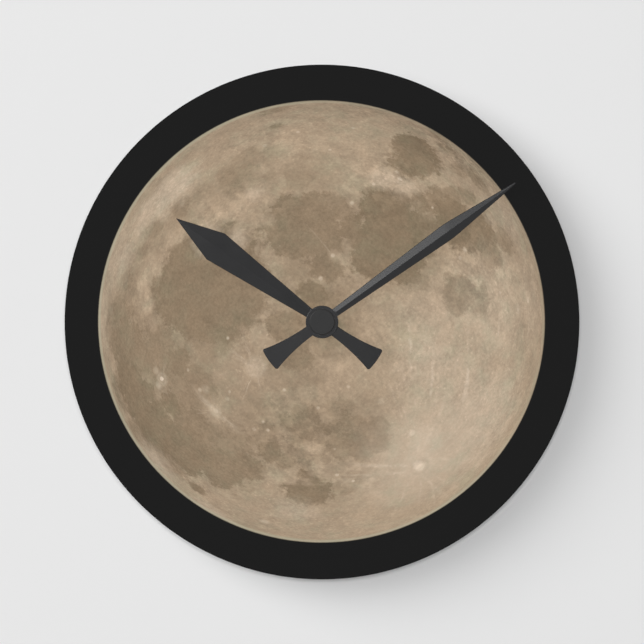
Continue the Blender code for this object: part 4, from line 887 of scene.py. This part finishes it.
def board_finish():
    """Brown laminate board with tinned tracks."""
    material, shader, coordinates = new_material("circuit_board", 0.5)
    cells = add_node(
        "ShaderNodeTexVoronoi", {"Vector": coordinates, "Scale": 420.0}, feature="DISTANCE_TO_EDGE"
    )
    tracks = ramp(cells["Distance"], 0.09, 0.05)
    base = mix(noise(coordinates, 2500.0, 3.0), srgb(120, 82, 40), srgb(158, 114, 62))
    feed(shader, {"Base Color": mix(tracks, base, srgb(176, 170, 158)), "Metallic": tracks * 0.9})
    return material


def battery_finish(settings):
    """Printed sleeve with a pale band and bare steel ends, along the battery's length."""
    material, shader, coordinates = new_material("battery_sleeve", 0.32)
    low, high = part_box("aa_cell")
    along = separate(coordinates)["X"]
    sleeve_start, band_start, sleeve_end = low.x + MINUS_END, high.x - BAND_LENGTH, high.x - PLUS_END
    band = ramp(along, band_start, band_start + 2.0 * SLEEVE_BLUR)
    band = band * ramp(along, sleeve_end, sleeve_end - SLEEVE_BLUR)
    plus_end = ramp(along, sleeve_end - SLEEVE_BLUR, sleeve_end)
    bare = maths("MAXIMUM", plus_end, ramp(along, sleeve_start, sleeve_start - SLEEVE_BLUR))
    scuffs = ramp(noise(coordinates, 160.0, 6.0, 0.7), 0.62, 0.8)
    sleeve = mix(band, settings.sleeve_colour, srgb(196, 198, 196))
    sleeve = mix(scuffs * 0.3, sleeve, srgb(160, 164, 168))
    sleeve = mix(bare, sleeve, srgb(200, 199, 194))
    feed(shader, {"Base Color": sleeve, "Metallic": bare, "Roughness": scuffs * 0.2 + 0.3})
    return material


# ---- Operators


class MOON_OT_dial(bpy.types.Operator):
    """Build the round dial plate and the printed moon on its face"""

    bl_idname = "moon_clock.dial"
    bl_label = "Dial"

    def execute(self, context):
        settings = context.scene.moon_dial
        disc = turn_disc("dial_disc", "dial_plate", settings.edge_bevel, settings.sides)
        acrylic = grained_finish("dial_acrylic", srgb(24, 24, 25), 0.16, scale=300.0, shade=0.1, bump=0.03)
        place(disc, "dial_plate", acrylic)
        face = turn_disc("moon_face", "dial_print", settings.print_bevel, settings.sides)
        lay_print_map(face)
        place(face, "dial_print", moon_print_finish(settings))
        return {"FINISHED"}


def lay_print_map(piece):
    """Bake map that gives nearly all of its room to the print's face."""
    mesh = piece.data
    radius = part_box("dial_print")[1].x
    layer = mesh.uv_layers.new(name="OFBake")
    for face in mesh.polygons:
        for loop in face.loop_indices:
            point = mesh.vertices[mesh.loops[loop].vertex_index].co
            if abs(face.normal.y) > 0.9:
                middle, half = FACE_ON_MAP if face.normal.y < 0.0 else BACK_ON_MAP
                spot = (middle + half * point.x / radius, middle + half * point.z / radius)
            else:
                middle, half, height = EDGE_ON_MAP
                turn = math.atan2(point.z, point.x) / math.pi
                spot = (middle + half * turn, height + 2.0 * (point.y - mesh.vertices[0].co.y))
            layer.data[loop].uv = spot


class MOON_OT_hands(bpy.types.Operator):
    """Build the hour hand and the minute hand of creased sheet metal"""

    bl_idname = "moon_clock.hands"
    bl_label = "Hands"

    def execute(self, context):
        settings = context.scene.moon_hands
        for name, node, colour in (
            ("hour_pointer", "hour_hand", settings.hour_colour),
            # The minute hand's colour carries painted light: the same paint made lighter than the hour
            # hand's.
            ("minute_pointer", "minute_hand", settings.minute_colour_with_painted_light),
        ):
            piece = finished_copy(name, node, settings.edge_bevel, degrees=40.0, crease=9.0)
            paint = grained_finish(
                name + "_paint", colour, 0.24, scale=1500.0, shade=0.1, bump=0.06, depth=0.01
            )
            place(piece, node, paint)
            piece.visible_shadow = False
        return {"FINISHED"}


class MOON_OT_hub(bpy.types.Operator):
    """Build the closed cap nut in front of the hands"""

    bl_idname = "moon_clock.hub"
    bl_label = "Cap nut"

    def execute(self, context):
        settings = context.scene.moon_hands
        low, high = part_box("hand_cap_nut")
        radius, near, far = high.x, -high.y, -low.y
        profile = [(CAP_BORE, far - CAP_WALL), (CAP_BORE, near)]
        profile += [(radius - CAP_EDGE, near), (radius, near + CAP_EDGE)]
        for step in range(7):
            angle = math.radians(15.0 * step)
            out, up = 1.0 - math.cos(angle), 1.0 - math.sin(angle)
            profile.append((radius - CAP_ROUND * out, far - CAP_ROUND * up))
        piece = turn_piece("cap_nut", profile, 96)
        paint = grained_finish(
            "cap_paint", settings.cap_colour, 0.42, scale=1500.0, shade=0.08, bump=0.05, depth=0.01
        )
        place(piece, "hand_cap_nut", paint)
        piece.visible_shadow = False
        return {"FINISHED"}


class MOON_OT_fastening(bpy.types.Operator):
    """Build the bush, nut, washer, gasket and hanger that hold the dial to the movement"""

    bl_idname = "moon_clock.fastening"
    bl_label = "Fastening"

    def execute(self, context):
        brass = turned_metal_finish("turned_brass", srgb(204, 180, 122), 0.3, 900.0)
        rubber = grained_finish("gasket_rubber", srgb(34, 34, 35), 0.75, scale=1100.0, shade=0.2, bump=0.4)
        steel = brushed_finish("plated_steel", srgb(186, 187, 186), 0.34, (1.0, 1.0, 0.12))
        for name, node, bevel, finish in (
            ("bush", "threaded_bushing", 0.08, brass),
            ("dial_nut", "hex_nut", 0.2, brass),
            ("brass_washer", "dial_washer", 0.06, brass),
            ("gasket", "rubber_gasket", 0.2, rubber),
            ("hanger", "hanger_plate", 0.1, steel),
        ):
            place(finished_copy(name, node, bevel * MM), node, finish)
        return {"FINISHED"}


class MOON_OT_case(bpy.types.Operator):
    """Build the movement's two moulded shells, its setting knob and its battery"""

    bl_idname = "moon_clock.case"
    bl_label = "Case"

    def execute(self, context):
        settings = context.scene.moon_movement
        black = grained_finish(
            "case_plastic", settings.case_colour, 0.5, scale=2200.0, shade=0.16, bump=0.35, depth=0.03
        )
        cream = srgb(226, 225, 220)
        white = grained_finish("knob_plastic", cream, 0.42, scale=1200.0, shade=0.06, bump=0.1)
        for name, node, bevel, finish in (
            ("front_shell", "case_front", settings.edge_bevel, black),
            ("rear_cover", "case_back", settings.edge_bevel, black),
            ("knob", "setting_knob", 0.06 * MM, white),
        ):
            place(finished_copy(name, node, bevel, degrees=50.0), node, finish)
        place(finished_copy("battery_cell", "aa_cell", 0.15 * MM), "aa_cell", battery_finish(settings))
        return {"FINISHED"}


class MOON_OT_movement(bpy.types.Operator):
    """Give the wheels, the motor and the electronics inside the case their finishes"""

    bl_idname = "moon_clock.movement"
    bl_label = "Movement"

    def execute(self, context):
        natural = grained_finish("wheel_plastic", srgb(226, 221, 204), 0.4, shade=0.08, bump=0.1)
        white = grained_finish("white_plastic", srgb(230, 230, 226), 0.4, shade=0.06, bump=0.1)
        steel = brushed_finish("ground_steel", srgb(176, 176, 178), 0.3, (1.0, 1.0, 0.2), 900.0)
        nickel = brushed_finish("nickel_plate", srgb(204, 199, 186), 0.26, (0.2, 1.0, 1.0), 900.0)
        magnet = grained_finish("ferrite", srgb(66, 66, 68), 0.45, 0.6, scale=1500.0, shade=0.2, bump=0.2)
        resin = grained_finish("chip_resin", srgb(22, 22, 22), 0.3, scale=700.0, shade=0.3, bump=0.2)
        for finish, nodes in (
            (natural, ("middle_plate", "centre_wheel", "third_wheel", "second_wheel", "fifth_wheel")),
            (white, ("hour_wheel", "minute_wheel", "rotor_pinion", "coil_bobbin")),
            (steel, ("minute_arbor", "stator_plate", "coil_core")),
            (nickel, ("quartz_crystal", "contact_positive", "contact_negative")),
            (winding_finish(), ("coil_winding",)),
            (board_finish(), ("circuit_board",)),
            (magnet, ("rotor_magnet",)),
            (resin, ("chip_cover",)),
        ):
            for node in nodes:
                paint_node(node, finish)
        return {"FINISHED"}


class MOON_OT_stage(bpy.types.Operator):
    """Build the wall, the lamps, the background and the camera"""

    bl_idname = "moon_clock.stage"
    bl_label = "Stage"

    def execute(self, context):
        settings = context.scene.moon_stage
        hang_wall(settings)
        paint_background(context.scene)
        add_lamp("key_lamp", *KEY_LAMP, settings.key_power)
        add_lamp("fill_lamp", *FILL_LAMP, settings.fill_power).visible_glossy = False
        add_lamp("rear_lamp", *REAR_LAMP, settings.rear_power)
        aim_camera(context.scene, settings)
        return {"FINISHED"}


def hang_wall(settings):
    """Pale wall behind the clock, which is seen only from the front."""
    clear_selection()
    bpy.ops.mesh.primitive_plane_add(
        size=WALL_SIZE, location=(0.0, WALL_GAP, 0.0), rotation=(QUARTER, 0.0, 0.0)
    )
    wall = name_piece("wall")
    bpy.ops.object.transform_apply(location=True, rotation=True, scale=True)
    material, shader, coordinates = new_material("wall_paint", 0.9)
    tree = material.node_tree
    plaster = noise(coordinates, 60.0, 3.0) * 0.03
    feed(shader, {
        "Base Color": mix(plaster, settings.wall_colour, srgb(200, 200, 200)), "Specular IOR Level": 0.0,
    })
    rays = source(tree, "ShaderNodeLightPath")
    behind = source(tree, "ShaderNodeNewGeometry")["Backfacing"]
    shown = rays["Is Camera Ray"] * (1.0 - behind)
    clear = source(tree, "ShaderNodeBsdfTransparent")
    chooser = add_node("ShaderNodeMixShader", {0: shown, 1: clear, 2: Result(shader.outputs[0])})
    feed(tree.nodes["Material Output"], {"Surface": chooser})
    wall.data.materials.append(material)


def paint_background(scene):
    """World: even light from the room in front and from behind, and a pale backdrop to look at."""
    scene.world = bpy.data.worlds.new("studio")
    scene.world.use_nodes = True
    tree = scene.world.node_tree
    rearward = separate(source(tree, "ShaderNodeTexCoord")["Generated"])["Y"]
    behind = ramp(rearward, -0.15, 0.3)
    rays = source(tree, "ShaderNodeLightPath")
    even = behind * (REAR_AMBIENT - FRONT_AMBIENT) + FRONT_AMBIENT
    mirrored = behind * (BACKDROP - FRONT_MIRRORED) + FRONT_MIRRORED
    shiny = maths("MAXIMUM", rays["Is Glossy Ray"], rays["Is Transmission Ray"])
    strength = even + (mirrored - even) * shiny
    backdrop = (BACKDROP - strength) * rays["Is Camera Ray"]
    feed(tree.nodes["Background"], {"Color": WHITE, "Strength": strength + backdrop})


def add_lamp(name, direction, distance, length, width, power):
    """Oval area lamp that looks at the clock, its length in the plane of its direction and the dial's."""
    clear_selection()
    way = Vector(direction).normalized()
    facing = Vector((0.0, -1.0, 0.0))
    lengthwise = (facing - way * facing.dot(way)).normalized()
    bpy.ops.object.light_add(type="AREA", location=way * distance)
    lamp = name_piece(name)
    lamp.data.shape = "ELLIPSE"
    lamp.data.size = length
    lamp.data.size_y = width
    lamp.data.energy = power
    lamp.rotation_euler = Matrix((lengthwise, way.cross(lengthwise), way)).transposed().to_euler()
    return lamp


def aim_camera(scene, settings):
    """Camera square to the dial with a long lens."""
    clear_selection()
    bpy.ops.object.camera_add(
        location=(0.0, -settings.camera_distance, 0.0), rotation=(QUARTER, 0.0, 0.0)
    )
    camera = name_piece("camera")
    to_dial = settings.camera_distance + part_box("dial_print")[0].y
    camera.data.lens = camera.data.sensor_width * to_dial / settings.view_width
    scene.camera = camera
    scene.view_settings.view_transform = "Standard"


class MOON_PT_panel(bpy.types.Panel):
    """The clock's pieces and settings in the 3D view's sidebar"""

    bl_idname = "MOON_PT_panel"
    bl_label = "Moon Wall Clock"
    bl_space_type = "VIEW_3D"
    bl_region_type = "UI"
    bl_category = "Moon Clock"

    def draw(self, context):
        for operator, settings in BUILD_ORDER:
            box = self.layout.box()
            box.operator(operator.bl_idname)
            if settings:
                for key in SETTINGS[settings].__annotations__:
                    box.prop(getattr(context.scene, settings), key)


SETTINGS = {
    "moon_dial": DialSettings,
    "moon_hands": HandSettings,
    "moon_movement": MovementSettings,
    "moon_stage": StageSettings,
}
BUILD_ORDER = (
    (MOON_OT_dial, "moon_dial"),
    (MOON_OT_hands, "moon_hands"),
    (MOON_OT_hub, None),
    (MOON_OT_fastening, None),
    (MOON_OT_case, "moon_movement"),
    (MOON_OT_movement, None),
    (MOON_OT_stage, "moon_stage"),
)


def register():
    """Register the classes and add their settings to the scene."""
    for name, group in SETTINGS.items():
        bpy.utils.register_class(group)
        setattr(bpy.types.Scene, name, PointerProperty(type=group))
    for operator, _ in BUILD_ORDER:
        bpy.utils.register_class(operator)
    bpy.utils.register_class(MOON_PT_panel)


def unregister():
    """Remove the classes and their settings."""
    bpy.utils.unregister_class(MOON_PT_panel)
    for operator, _ in reversed(BUILD_ORDER):
        bpy.utils.unregister_class(operator)
    for name, group in SETTINGS.items():
        delattr(bpy.types.Scene, name)
        bpy.utils.unregister_class(group)


def main():
    """Build the whole clock."""
    register()
    for operator, _ in BUILD_ORDER:
        family, name = operator.bl_idname.split(".")
        getattr(getattr(bpy.ops, family), name)()


if __name__ == "__main__":
    main()
